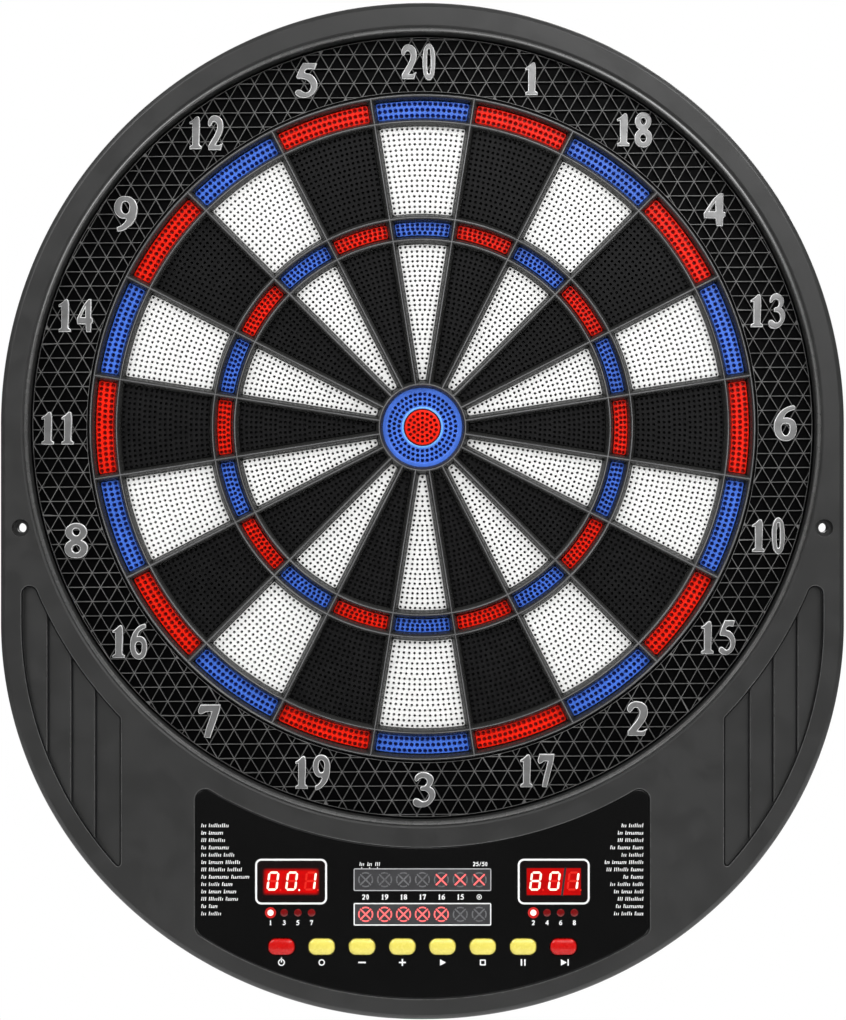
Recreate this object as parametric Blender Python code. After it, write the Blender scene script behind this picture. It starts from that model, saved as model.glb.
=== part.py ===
"""Wall-hung electronic dartboard for soft-tip darts, with its target, keys and inner parts.

Units: every dimension below is in millimetres and is turned into metres as a mesh is made.
Frame: origin on the bull's axis at the rear face, +Z up, and the board faces -Y.
Angles of the target are clock angles: 0 points up and they grow clockwise as seen from the front.
"""

import math

import bmesh
import bpy

MM = 0.001

# Outline of the housing, seen from the front
TOP_RADIUS = 221.3
ELLIPSE_Z = -102.8
ELLIPSE_HEIGHT = 208.2
OUTLINE_POINTS = 64

# Depths, as Y of each level (the front is negative)
CASE_SPLIT = -14.0
FACE_FRONT = -33.0
FACE_BACK = -28.0
BEAD_FRONT = -34.0
CREST = -27.5
SPIDER_BACK = -18.5
SEGMENT_FRONT = -24.0
FLANGE_FRONT = -18.2
FLANGE_BACK = -17.0
MAT = (-13.9, -16.0)
MEMBRANE = (-13.1, -13.6)
BACKING = (-10.8, -12.8)
FLOOR = -3.0
CATCH_RIB = -20.7
GAP = 0.3

# Target
WEDGE = 18.0
HALF_WEDGE = WEDGE / 2
ARC_STEPS = (2, 2, 3, 3)
TURN_STEPS = 60
RIB_STEPS = 36
STACK_STEPS = 40
WALL = 1.2
BLOCK_INSET = 2.2
FLANGE_INSET = 0.3
BULL_CREST = 22.7
CELL_RADII = ((23.9, 97.6), (100.0, 109.2), (111.6, 159.7), (162.1, 173.5))
BLOCK_RADII = ((25.0, 96.6), (101.2, 108.2), (112.6, 158.8), (163.0, 172.2))
FLANGE_RADII = (24.3, 173.2)
NUMBERS = (20, 1, 18, 4, 13, 6, 10, 15, 2, 17, 3, 19, 7, 16, 8, 11, 14, 9, 12, 5)
OUTER_BULL_RADIUS = 20.4
INNER_BULL_RADIUS = 9.4

# Housing
RIM_RADIUS = 206.4
RIM_OUTSIDE = 209.3
WALL_THICKNESS = 2.5
HANG_HOLE = (210.3, -53.0)
HANG_BORE = 2.5
HANG_SEAT_RADIUS = 4.5
HANG_SEAT = -30.0
HANG_SIDES = 12
PANEL_TOP_RADIUS = 220.3
PANEL_HALF_WIDTH = 119.0
PANEL_MARGIN = 11.5
PANEL_DEPTH = 1.6
POCKET_INNER_X = 158.4
POCKET_ARC = 219.8
POCKET_DEPTH = 2.5
CORNER = 5.5

# Screws: clock angles on the ring, then free places as (x, z)
SCREW_RING = 213.5
SCREW_ANGLES = (27.0, 78.0)
SCREW_PLACES = ((175.0, -215.0), (70.0, -291.0))
SCREW_SIDES = 8

# Control panel
BUTTON_X = (10.5, 31.6, 52.7, 73.75)
BUTTON_Z = -272.1
BUTTON_SIZE = (13.7, 8.4)
BUTTON_FRONT = -34.6
BUTTON_FLANGE = (-26.7, -27.7)
BUTTON_LIP = 1.3
SCORE_CENTRE = (68.7, -238.0)
SCORE_SIZE = (35.6, 22.0)
MARK_SIZE = (71.0, 11.2)
MARK_Z = (-237.0, -255.1)
LAMP_CENTRE = (68.75, -254.3)
LAMP_SIZE = (26.0, 4.2)
WINDOW = (90.0, -262.5, -224.0)
DISPLAY_BACK = -24.3
DISPLAY_FRONT = -31.4
DISPLAY_BOARD = (-22.4, -24.0)
MAIN_BOARD = (-6.4, -8.0)
SPEAKER_CENTRE = (-150.0, -195.0)
SLOT_REACH = 17.0
SLOT_PITCH = 6.0
JACK_Z = -90.0
JACK_Y = -8.5

# Colours (linear), roughness and metallic value
DARK_GREY = ((0.055, 0.057, 0.062), 0.55, 0.0)
BLACK = ((0.012, 0.012, 0.013), 0.6, 0.0)
GLOSS_BLACK = ((0.006, 0.006, 0.007), 0.12, 0.0)
WHITE = ((0.86, 0.86, 0.85), 0.45, 0.0)
BLUE = ((0.05, 0.13, 0.75), 0.4, 0.0)
RED = ((0.75, 0.03, 0.02), 0.4, 0.0)
YELLOW = ((0.9, 0.78, 0.15), 0.4, 0.0)
LED_RED = ((0.55, 0.01, 0.01), 0.3, 0.0)
BOARD_GREEN = ((0.02, 0.12, 0.05), 0.5, 0.0)
RUBBER = ((0.03, 0.03, 0.03), 0.85, 0.0)
FILM = ((0.6, 0.62, 0.55), 0.35, 0.0)
STEEL = ((0.5, 0.5, 0.52), 0.35, 1.0)


def clear_scene():
    for old in list(bpy.data.objects):
        bpy.data.objects.remove(old, do_unlink=True)


def make_material(name, finish):
    colour, roughness, metallic = finish
    material = bpy.data.materials.new(name)
    material.use_nodes = True
    shader = material.node_tree.nodes["Principled BSDF"]
    shader.inputs["Base Color"].default_value = (*colour, 1.0)
    shader.inputs["Roughness"].default_value = roughness
    shader.inputs["Metallic"].default_value = metallic
    return material


def add_object(name, bm, finish=None):
    """Turns a bmesh in millimetres into an object in metres; one with no finish is a helper."""
    bmesh.ops.recalc_face_normals(bm, faces=bm.faces)
    bmesh.ops.scale(bm, vec=(MM, MM, MM), verts=bm.verts)
    mesh = bpy.data.meshes.new(name)
    bm.to_mesh(mesh)
    bm.free()
    mesh.shade_smooth()
    mesh.set_sharp_from_angle(angle=math.radians(30))
    item = bpy.data.objects.new(name, mesh)
    bpy.context.collection.objects.link(item)
    if finish is None:
        item.hide_render = True
        item.display_type = "WIRE"
    else:
        mesh.materials.append(make_material(name, finish))
    return item


def boolean(item, helper, operation):
    modifier = item.modifiers.new(helper.name, "BOOLEAN")
    modifier.operation = operation
    modifier.solver = "EXACT"
    modifier.object = helper


def polar(angle, radius):
    turn = math.radians(angle)
    return radius * math.sin(turn), radius * math.cos(turn)


def ring_points(radius, steps, centre=(0.0, 0.0), phase=0.0):
    places = [polar(phase + 360.0 * i / steps, radius) for i in range(steps)]
    return [(centre[0] + x, centre[1] + z) for x, z in places]


def rectangle(width, height, centre=(0.0, 0.0)):
    x, z = centre
    w, h = width / 2, height / 2
    return [(x - w, z - h), (x + w, z - h), (x + w, z + h), (x - w, z + h)]


def fillet(points, radii, steps=4):
    """Rounds the corners named in radii (point index to radius) of a closed outline."""
    result = []
    for i, point in enumerate(points):
        radius = radii.get(i)
        if not radius:
            result.append(point)
            continue
        before, after = points[i - 1], points[(i + 1) % len(points)]
        a = math.atan2(before[1] - point[1], before[0] - point[0])
        b = math.atan2(after[1] - point[1], after[0] - point[0])
        half = math.remainder(b - a, 2 * math.pi) / 2
        reach = radius / abs(math.sin(half))
        centre = (point[0] + reach * math.cos(a + half), point[1] + reach * math.sin(a + half))
        start = a + math.copysign(math.pi / 2, -half)
        sweep = 2 * half - math.copysign(math.pi, half)
        for k in range(steps + 1):
            turn = start + sweep * k / steps
            result.append((centre[0] + radius * math.cos(turn), centre[1] + radius * math.sin(turn)))
    return result


def rounded_rectangle(width, height, radius, centre=(0.0, 0.0), steps=3):
    return fillet(rectangle(width, height, centre), dict.fromkeys(range(4), radius), steps)


def outline(offset):
    """The housing's outline moved inwards by offset, at equal clock angles."""
    radius, height = TOP_RADIUS - offset, ELLIPSE_HEIGHT - offset
    points = []
    for i in range(OUTLINE_POINTS):
        x, z = polar(360.0 * i / OUTLINE_POINTS, 1.0)
        reach = radius
        if z < -1e-9:
            reach = radius / abs(x) if abs(x) > 1e-9 else 1e9
            if reach * z < ELLIPSE_Z:
                a = (x / radius) ** 2 + (z / height) ** 2
                b = -2 * z * ELLIPSE_Z / height**2
                c = (ELLIPSE_Z / height) ** 2 - 1
                reach = (-b + math.sqrt(b * b - 4 * a * c)) / (2 * a)
        points.append((reach * x, reach * z))
    return points


def lower_edge(x, offset):
    """Z of the outline's lower half-ellipse at x, moved inwards by offset."""
    share = x / (TOP_RADIUS - offset)
    return ELLIPSE_Z - (ELLIPSE_HEIGHT - offset) * math.sqrt(1 - share * share)


def panel_outline(inset):
    half = PANEL_HALF_WIDTH - inset
    radius = PANEL_TOP_RADIUS + inset
    steps = 12
    xs = [half - 2 * half * i / steps for i in range(steps + 1)]
    top = [(x, -math.sqrt(radius * radius - x * x)) for x in xs]
    bottom = [(-x, lower_edge(x, PANEL_MARGIN + inset)) for x in xs]
    corners = (0, steps, steps + 1, 2 * steps + 1)
    return fillet(top + bottom, dict.fromkeys(corners, CORNER))


def pocket_outline(side):
    """One of the two recesses beside the target; side is 1 on the right and -1 on the left."""
    margin = 12.0
    outer_x = TOP_RADIUS - margin
    steps = 5
    edge = [(outer_x, -math.sqrt(POCKET_ARC**2 - outer_x**2))]
    for i in range(steps + 1):
        turn = math.acos(POCKET_INNER_X / outer_x) * i / steps
        x = outer_x * math.cos(turn)
        edge.append((x, lower_edge(x, margin)))
    low = math.degrees(math.acos(POCKET_INNER_X / POCKET_ARC))
    high = math.degrees(math.acos(outer_x / POCKET_ARC))
    for i in range(steps):
        turn = math.radians(low + (high - low) * i / steps)
        edge.append((POCKET_ARC * math.cos(turn), -POCKET_ARC * math.sin(turn)))
    rounded = fillet(edge, {0: 2.5, steps + 1: 2.5, steps + 2: 4.0}, 2)
    return [(side * x, z) for x, z in rounded]


def prism(points, back, front):
    """A solid with the outline (x, z) points between two levels of Y."""
    bm = bmesh.new()
    base = [bm.verts.new((x, back, z)) for x, z in points]
    top = [bm.verts.new((x, front, z)) for x, z in points]
    bm.faces.new(base)
    bm.faces.new(top)
    count = len(points)
    for i in range(count):
        j = (i + 1) % count
        bm.faces.new((base[i], base[j], top[j], top[i]))
    return bm


def joined(solids):
    """Puts separate solids into one bmesh, for a cutter or for a group that a union adds."""
    result = bmesh.new()
    for solid in solids:
        mesh = bpy.data.meshes.new("part")
        solid.to_mesh(mesh)
        solid.free()
        result.from_mesh(mesh)
        bpy.data.meshes.remove(mesh)
    return result


def loop_solid(loops, capped=False):
    """Joins loops of (x, y, z) in turn; the last meets the first, or both ends are capped."""
    bm = bmesh.new()
    rows = [[bm.verts.new(point) for point in loop] for loop in loops]
    pairs = list(zip(rows, rows[1:]))
    if capped:
        bm.faces.new(rows[0])
        bm.faces.new(rows[-1])
    else:
        pairs.append((rows[-1], rows[0]))
    count = len(loops[0])
    for low, high in pairs:
        for i in range(count):
            j = (i + 1) % count
            bm.faces.new((low[i], low[j], high[j], high[i]))
    return bm


def turned(profile, steps, centre=(0.0, 0.0), capped=False, phase=0.0):
    """A round solid from (radius, y) points, closed as a ring or capped at both ends."""
    loops = []
    for radius, y in profile:
        loops.append([(x, y, z) for x, z in ring_points(radius, steps, centre, phase)])
    return loop_solid(loops, capped)


def at_level(points, y):
    return [(x, y, z) for x, z in points]


def screw_centres():
    ring = [polar(side * angle, SCREW_RING) for angle in SCREW_ANGLES for side in (-1, 1)]
    return ring + [(side * x, z) for x, z in SCREW_PLACES for side in (-1, 1)]


def sector(radii, inset, steps):
    """Outline of a wedge cell between two radii, its sides moved in from the wedge's edges."""
    points = []
    for radius, direction in ((radii[0], 1), (radii[1], -1)):
        half = HALF_WEDGE - math.degrees(math.asin(inset / radius))
        for i in range(steps + 1):
            points.append(polar(direction * half * (2 * i / steps - 1), radius))
    return points


def turn_points(points, angle):
    turn = math.radians(angle)
    cos, sin = math.cos(turn), math.sin(turn)
    return [(x * cos + z * sin, z * cos - x * sin) for x, z in points]


def add_rear_cover():
    edge = CASE_SPLIT + GAP
    loops = [
        at_level(outline(2.8), 0.0),
        at_level(outline(1.0), -2.2),
        at_level(outline(0.4), edge),
        at_level(outline(0.4 + WALL_THICKNESS), edge),
        at_level(outline(1.0 + WALL_THICKNESS), FLOOR),
    ]
    cover = add_object("rear_cover", loop_solid(loops, capped=True), DARK_GREY)
    root = FLOOR + 0.5
    ring = turned(((205, root), (205, CATCH_RIB), (207, CATCH_RIB), (207, root)), RIB_STEPS)
    boolean(cover, add_object("catch_rib", ring), "UNION")
    top = BACKING[0] + GAP
    supports = [turned(((165, root), (165, top), (167, top), (167, root)), RIB_STEPS)]
    for x in (-50, 50):
        for z in (-235, -283):
            supports.append(prism(ring_points(3.0, 6, (x, z)), root, MAIN_BOARD[0] + GAP))
    boolean(cover, add_object("cover_supports", joined(supports)), "UNION")
    boolean(cover, add_object("cover_cuts", joined(cover_cuts())), "DIFFERENCE")
    boolean(cover, add_object("jack_hole", along_x(ring_points(3.8, 10), 214.0, 225.0)), "DIFFERENCE")


def cover_cuts():
    """Ribbon notch, stepped screw holes, hanging holes and speaker slots."""
    cuts = [prism(rectangle(32, 12, (0, -206)), -11.0, -25.0)]
    for centre in screw_centres():
        step = ((3.3, 1.0), (3.3, -1.6), (1.9, -1.6), (1.9, -4.0))
        cuts.append(turned(step, SCREW_SIDES, centre, capped=True))
    for centre in hang_centres():
        cuts.append(prism(ring_points(3.0, HANG_SIDES, centre), 1.0, -4.0))
    for row in range(-2, 3):
        offset = row * SLOT_PITCH
        reach = math.sqrt(SLOT_REACH**2 - offset**2)
        centre = (SPEAKER_CENTRE[0], SPEAKER_CENTRE[1] + offset)
        cuts.append(prism(rectangle(2 * reach, SLOT_PITCH / 2, centre), 1.0, -4.0))
    return cuts


def along_x(points, start, end):
    """A prism whose outline (y, z) points are centred on the supply inlet and run along X."""
    bm = bmesh.new()
    ends = []
    for x in (start, end):
        ends.append([bm.verts.new((x, JACK_Y + y, JACK_Z + z)) for y, z in points])
    bm.faces.new(ends[0])
    bm.faces.new(ends[1])
    count = len(points)
    for i in range(count):
        j = (i + 1) % count
        bm.faces.new((ends[0][i], ends[0][j], ends[1][j], ends[1][i]))
    return bm


def add_front_bezel():
    rim = (
        (210.0, FACE_FRONT),
        (208.2, BEAD_FRONT),
        (RIM_RADIUS, -32.6),
        (RIM_RADIUS, -23.0),
        (RIM_OUTSIDE, -23.0),
        (RIM_OUTSIDE, FACE_BACK),
    )
    loops = [
        at_level(outline(WALL_THICKNESS), FACE_BACK),
        at_level(outline(WALL_THICKNESS), CASE_SPLIT),
        at_level(outline(0.0), CASE_SPLIT),
        at_level(outline(0.0), -32.4),
        at_level(outline(1.3), BEAD_FRONT),
        at_level(outline(2.8), FACE_FRONT),
    ]
    loops += [at_level(ring_points(radius, OUTLINE_POINTS), y) for radius, y in rim]
    bezel = add_object("front_bezel", loop_solid(loops), DARK_GREY)
    boolean(bezel, add_object("bezel_posts", joined(bezel_posts())), "UNION")
    cuts = [prism(panel_outline(0.0), FACE_FRONT + PANEL_DEPTH, -36.0)]
    cuts += [prism(pocket_outline(side), FACE_FRONT + POCKET_DEPTH, -36.0) for side in (-1, 1)]
    for centre in hang_centres():
        cuts.append(prism(ring_points(HANG_SEAT_RADIUS, HANG_SIDES, centre), HANG_SEAT, -36.0))
    boolean(bezel, add_object("bezel_recesses", joined(cuts)), "DIFFERENCE")
    holes = [prism(window_outline(), -20.0, -36.0)]
    holes += [prism(ring_points(1.9, SCREW_SIDES, centre), 0.0, -24.0) for centre in screw_centres()]
    holes += [prism(ring_points(HANG_BORE, HANG_SIDES, centre), 0.0, -36.0) for centre in hang_centres()]
    holes += button_openings()
    boolean(bezel, add_object("bezel_holes", joined(holes)), "DIFFERENCE")


def bezel_posts():
    """Screw bosses, hanging tubes and the posts that carry the display board."""
    foot, head = FLOOR - GAP, FACE_BACK - 1.0
    posts = [prism(ring_points(3.7, SCREW_SIDES, centre), foot, head) for centre in screw_centres()]
    posts += [prism(ring_points(4.7, HANG_SIDES, centre), foot, head) for centre in hang_centres()]
    for x in (-86.0, 86.0):
        for z in (-221.0, -276.0):
            posts.append(prism(ring_points(2.2, 6, (x, z)), DISPLAY_BOARD[1] - GAP, head))
    return posts


def window_outline():
    half, low, high = WINDOW
    return rounded_rectangle(2 * half, high - low, 3.0, (0.0, (low + high) / 2), 2)


def button_centres():
    return [(side * x, BUTTON_Z) for side in (-1, 1) for x in BUTTON_X]


def button_openings():
    return [prism(stadium(0.35, centre), -20.0, -36.0) for centre in button_centres()]


def hang_centres():
    return [(side * HANG_HOLE[0], HANG_HOLE[1]) for side in (-1, 1)]


def stadium(grow, centre):
    width, height = BUTTON_SIZE[0] + 2 * grow, BUTTON_SIZE[1] + 2 * grow
    return rounded_rectangle(width, height, height * 0.45, centre, 2)


def add_catch_ring():
    profile = (
        (176.0, -26.5), (206.0, -26.5), (206.0, -22.6), (209.0, -22.6),
        (209.0, -21.0), (204.0, -21.0), (204.0, -24.0), (176.0, -24.0),
    )
    add_object("catch_ring", turned(profile, TURN_STEPS, phase=3.0), BLACK)


def add_spider():
    opening = BULL_CREST - WALL
    skirt = MAT[0]
    profile = (
        (opening, CREST), (175.6, CREST), (175.6, SPIDER_BACK), (176.4, SPIDER_BACK),
        (176.4, skirt), (173.9, skirt), (173.9, SPIDER_BACK), (opening, SPIDER_BACK),
    )
    spider = add_object("spider", turned(profile, TURN_STEPS, phase=3.0), BLACK)
    cells = []
    for index in range(len(NUMBERS)):
        for radii, steps in zip(CELL_RADII, ARC_STEPS):
            points = turn_points(sector(radii, WALL, steps), WEDGE * index)
            cells.append(prism(points, SPIDER_BACK + 2.0, CREST - 2.0))
    boolean(spider, add_object("spider_cells", joined(cells)), "DIFFERENCE")


def segment_mesh():
    """One flanged plate with its double, triple and two single faces, for the wedge at the top."""
    flange = prism(sector(FLANGE_RADII, FLANGE_INSET, 3), FLANGE_BACK, FLANGE_FRONT)
    plate = add_object("segment_plate", flange)
    blocks = []
    for radii, steps in zip(BLOCK_RADII, ARC_STEPS):
        blocks.append(prism(sector(radii, BLOCK_INSET, steps), FLANGE_FRONT + 0.6, SEGMENT_FRONT))
    boolean(plate, add_object("segment_blocks", joined(blocks)), "UNION")
    bpy.context.view_layer.update()
    return bpy.data.meshes.new_from_object(plate.evaluated_get(bpy.context.evaluated_depsgraph_get()))


def add_segments():
    shape = segment_mesh()
    for index, number in enumerate(NUMBERS):
        name = f"segments_{number:02d}"
        mesh = shape.copy()
        mesh.name = name
        mesh.materials.clear()
        mesh.materials.append(make_material(name, BLACK if index % 2 else WHITE))
        item = bpy.data.objects.new(name, mesh)
        item.rotation_euler = (0.0, math.radians(WEDGE * index), 0.0)
        bpy.context.collection.objects.link(item)


def add_bulls():
    step = -19.3
    outer = (
        (9.9, -24.5), (OUTER_BULL_RADIUS, -24.5), (OUTER_BULL_RADIUS, FLANGE_FRONT), (23.4, FLANGE_FRONT),
        (23.4, FLANGE_BACK), (11.9, FLANGE_BACK), (11.9, step), (9.9, step),
    )
    add_object("outer_bull", turned(outer, 40), BLUE)
    inner = (
        (11.5, FLANGE_BACK), (11.5, FLANGE_FRONT), (INNER_BULL_RADIUS, FLANGE_FRONT),
        (INNER_BULL_RADIUS, SEGMENT_FRONT),
    )
    add_object("inner_bull", turned(inner, 40, capped=True), RED)


def add_sensor_stack():
    disc = ring_points(178.5, STACK_STEPS)
    add_object("backing_plate", prism(disc, *BACKING), DARK_GREY)
    add_object("sensor_membrane", prism(disc, *MEMBRANE), FILM)
    add_object("rubber_mat", prism(ring_points(173.3, STACK_STEPS), *MAT), RUBBER)
    tail = ((-178.8, -13.4), (-224.0, -13.4), (-232.0, -8.6), (-240.0, -8.6))
    add_object("membrane_tail", strip(tail, 24.0), FILM)
    ribbon = ((-262.0, -8.6), (-270.0, -8.6), (-274.0, -15.0), (-270.0, -21.8), (-262.0, -21.8))
    add_object("board_ribbon", strip(ribbon, 30.0), FILM)


def strip(path, width, thickness=0.5):
    """A flat cable as a constant-thickness strip along (z, y) points, centred on X = 0."""
    sides = ([], [])
    for i, (z, y) in enumerate(path):
        before, after = path[max(i - 1, 0)], path[min(i + 1, len(path) - 1)]
        along = math.atan2(after[1] - before[1], after[0] - before[0])
        for side, shift in zip(sides, (thickness / 2, -thickness / 2)):
            side.append((z - shift * math.sin(along), y + shift * math.cos(along)))
    section = sides[0] + sides[1][::-1]
    loops = [[(x, y, z) for z, y in section] for x in (-width / 2, width / 2)]
    return loop_solid(loops, capped=True)


def add_control_panel():
    pane = prism(panel_outline(GAP), FACE_FRONT + PANEL_DEPTH - GAP, FACE_FRONT)
    lens = add_object("control_lens", pane, GLOSS_BLACK)
    boolean(lens, add_object("lens_holes", joined(button_openings())), "DIFFERENCE")
    for side, word in ((-1, "left"), (1, "right")):
        digits = rectangle(*SCORE_SIZE, (side * SCORE_CENTRE[0], SCORE_CENTRE[1]))
        add_object(f"{word}_score_display", prism(digits, DISPLAY_BACK, DISPLAY_FRONT), LED_RED)
        lamps = rectangle(*LAMP_SIZE, (side * LAMP_CENTRE[0], LAMP_CENTRE[1]))
        add_object(f"{word}_lamp_guide", prism(lamps, DISPLAY_BACK, DISPLAY_FRONT), LED_RED)
    for z, word in zip(MARK_Z, ("upper", "lower")):
        solid = prism(rectangle(*MARK_SIZE, (0.0, z)), DISPLAY_BACK, DISPLAY_FRONT)
        add_object(f"{word}_mark_display", solid, LED_RED)
    add_object("display_board", prism(rectangle(180, 64, (0, -250)), *DISPLAY_BOARD), BOARD_GREEN)
    add_object("main_board", prism(rectangle(120, 62, (0, -259)), *MAIN_BOARD), BOARD_GREEN)
    pad = rounded_rectangle(162, 11.5, 3.0, (0, BUTTON_Z))
    add_object("button_pad", prism(pad, DISPLAY_BACK, -25.2), RUBBER)


def add_buttons():
    for index, centre in enumerate(sorted(button_centres()), start=1):
        finish = RED if index in (1, 8) else YELLOW
        width, height = BUTTON_SIZE[0] + 2 * BUTTON_LIP, BUTTON_SIZE[1] + 2 * BUTTON_LIP
        lip = rounded_rectangle(width, height, height * 0.45, centre, 2)
        levels = (
            (lip, BUTTON_FLANGE[0]),
            (lip, BUTTON_FLANGE[1]),
            (stadium(0.0, centre), BUTTON_FLANGE[1]),
            (stadium(0.0, centre), BUTTON_FRONT + 1.0),
            (stadium(-1.0, centre), BUTTON_FRONT),
        )
        loops = [at_level(points, y) for points, y in levels]
        add_object(f"button_{index}", loop_solid(loops, capped=True), finish)


def add_speaker():
    cone = ((20.0, FLOOR - GAP), (20.0, -5.0), (13.0, -9.5), (13.0, -12.5))
    add_object("speaker", turned(cone, 20, SPEAKER_CENTRE, capped=True), BLACK)
    foot = FLOOR - GAP
    clamp = ((20.4, foot), (24.0, foot), (24.0, -6.8), (18.4, -6.8), (18.4, -6.4), (20.4, -5.3))
    add_object("speaker_retainer", turned(clamp, 20, SPEAKER_CENTRE), DARK_GREY)


def add_supply_jack():
    body = along_x(rectangle(9.0, 9.0), 206.0, 217.3)
    jack = add_object("supply_jack", body, BLACK)
    barrel = along_x(ring_points(3.4, 12), 216.0, 220.6)
    boolean(jack, add_object("jack_barrel", barrel), "UNION")
    boolean(jack, add_object("jack_socket", along_x(ring_points(1.95, 12), 210.0, 225.0)), "DIFFERENCE")


def add_screws():
    profile = ((2.9, -0.3), (2.9, -1.4), (1.5, -1.4), (1.5, -20.0))
    for index, centre in enumerate(screw_centres(), start=1):
        add_object(f"case_screw_{index}", turned(profile, 8, centre, capped=True), STEEL)


def main():
    clear_scene()
    add_rear_cover()
    add_front_bezel()
    add_catch_ring()
    add_spider()
    add_segments()
    add_bulls()
    add_sensor_stack()
    add_control_panel()
    add_buttons()
    add_speaker()
    add_supply_jack()
    add_screws()


main()
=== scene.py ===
"""Looks of the wall-hung electronic dartboard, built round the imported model.

Units: the shape code works in millimetres, and Shell.mesh turns them into metres.
Frame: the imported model's own. The origin is on the bull's axis at the rear face, +Z is up and the
board faces -Y, so a smaller Y is nearer to the player. An outline is a list of (x, z) points.
Angles of the target are clock angles: 0 points up and they grow clockwise as seen from the front.
"""

import math

import bmesh
import bpy
from mathutils import Matrix, Vector, geometry


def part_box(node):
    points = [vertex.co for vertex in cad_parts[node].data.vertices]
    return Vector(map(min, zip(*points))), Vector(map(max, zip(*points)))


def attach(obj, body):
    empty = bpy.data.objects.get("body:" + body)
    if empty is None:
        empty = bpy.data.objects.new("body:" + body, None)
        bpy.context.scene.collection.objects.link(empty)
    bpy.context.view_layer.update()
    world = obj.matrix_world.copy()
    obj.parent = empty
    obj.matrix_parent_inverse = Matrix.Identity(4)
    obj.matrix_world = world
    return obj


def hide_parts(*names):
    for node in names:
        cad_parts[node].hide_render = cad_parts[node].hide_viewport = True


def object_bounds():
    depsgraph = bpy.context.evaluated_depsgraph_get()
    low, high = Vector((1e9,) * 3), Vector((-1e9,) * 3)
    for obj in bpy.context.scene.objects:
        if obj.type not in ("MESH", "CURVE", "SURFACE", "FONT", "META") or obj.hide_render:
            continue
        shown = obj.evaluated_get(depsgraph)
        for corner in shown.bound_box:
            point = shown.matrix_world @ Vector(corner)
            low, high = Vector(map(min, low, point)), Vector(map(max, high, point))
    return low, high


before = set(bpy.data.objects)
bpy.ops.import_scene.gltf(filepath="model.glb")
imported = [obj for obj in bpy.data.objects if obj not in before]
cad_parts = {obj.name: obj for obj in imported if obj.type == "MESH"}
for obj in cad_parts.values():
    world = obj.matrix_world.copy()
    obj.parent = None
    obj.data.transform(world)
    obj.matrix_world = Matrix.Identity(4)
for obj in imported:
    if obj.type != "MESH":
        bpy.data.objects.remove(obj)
CAD_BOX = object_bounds()

MM = 0.001


def cad(node):
    """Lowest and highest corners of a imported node, in millimetres."""
    low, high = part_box(node)
    return low / MM, high / MM


# Outline of the housing, seen from the front
OUTLINE_POINTS = 720
TOP_RADIUS = cad("front_bezel")[1].x
TOP_LIFT = 1.4
ELLIPSE_Z = -102.8
ELLIPSE_HEIGHT = ELLIPSE_Z - cad("front_bezel")[0].z

# Depths, as Y of each level
BEAD_FRONT = cad("front_bezel")[0].y
FACE_FRONT = cad("control_lens")[0].y
FACE_BACK = FACE_FRONT + 5.0
CASE_SPLIT = -14.0
FLOOR = -3.0
GAP = 0.3
COVER_EDGE = CASE_SPLIT + GAP
CREST = cad("spider")[0].y
SKIRT = cad("spider")[1].y
SPIDER_BACK = -18.5
SEGMENT_FRONT = cad("segments_20")[0].y
FLANGE_BACK = cad("segments_20")[1].y
FLANGE_FRONT = FLANGE_BACK - 1.2
RIB_FRONT = cad("catch_ring")[0].y

# Target
NUMBERS = (20, 1, 18, 4, 13, 6, 10, 15, 2, 17, 3, 19, 7, 16, 8, 11, 14, 9, 12, 5)
WEDGE = 18.0
CREST_RADII = (22.7, 98.8, 110.4, 160.9, 174.7)
BLOCK_INSET = 2.2
FACE_RADII = ((25.0, 96.6), (101.2, 108.2), (112.6, 158.8), (163.0, 172.2))
OUTER_BULL_RADIUS = cad("outer_bull")[1].z
INNER_BULL_RADIUS = 9.4

# Catch ring
RING_RADII = (176.0, 206.0)
RIB_PITCH = 7.55
RING_TURN = -0.4
NUMBER_RADIUS = 191.5
NUMBER_CENTRE = (-0.5, 0.8)

# Housing
RIM_RADIUS = 206.4
RIM_OUTSIDE = 209.3
WALL_THICKNESS = 2.5
HANG_HOLE = (210.3, -53.0)
HANG_SLOT = 4.4
PANEL_TOP_RADIUS = 220.3
PANEL_HALF_WIDTH = 119.0
PANEL_MARGIN = 11.5
PANEL_DEPTH = 1.6
POCKET_INNER_X = 158.4
POCKET_ARC = 219.8
POCKET_MARGIN = 12.0
POCKET_DEPTH = 3.0
CORNER = 5.5
SCREW_RING = 213.5
SCREW_ANGLES = (27.0, 78.0)
SCREW_PLACES = ((175.0, -215.0), (70.0, -291.0))
SPEAKER_CENTRE = (-150.0, -195.0)


# ---------------------------------------------------------------- outlines


def polar(angle, radius):
    turn = math.radians(angle)
    return Vector((radius * math.sin(turn), radius * math.cos(turn)))


def circle(radius, steps, centre=(0.0, 0.0), phase=0.0):
    return [polar(phase + 360.0 * i / steps, radius) + Vector(centre) for i in range(steps)]


def rectangle(width, height, centre=(0.0, 0.0)):
    w, h = width / 2, height / 2
    return [Vector(centre) + Vector(corner) for corner in ((-w, -h), (w, -h), (w, h), (-w, h))]


def signed_area(points):
    total = 0.0
    for i, point in enumerate(points):
        total += points[i - 1].x * point.y - point.x * points[i - 1].y
    return total / 2


def grown(points, distance):
    """A closed outline moved outwards by distance, or inwards where it is negative."""
    side = math.copysign(1.0, signed_area(points))
    result = []
    for i, point in enumerate(points):
        before = (point - points[i - 1]).normalized()
        after = (points[(i + 1) % len(points)] - point).normalized()
        first = Vector((before.y, -before.x)) * side
        second = Vector((after.y, -after.x)) * side
        result.append(point + (first + second) * (distance / (1.0 + first.dot(second))))
    return result


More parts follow.
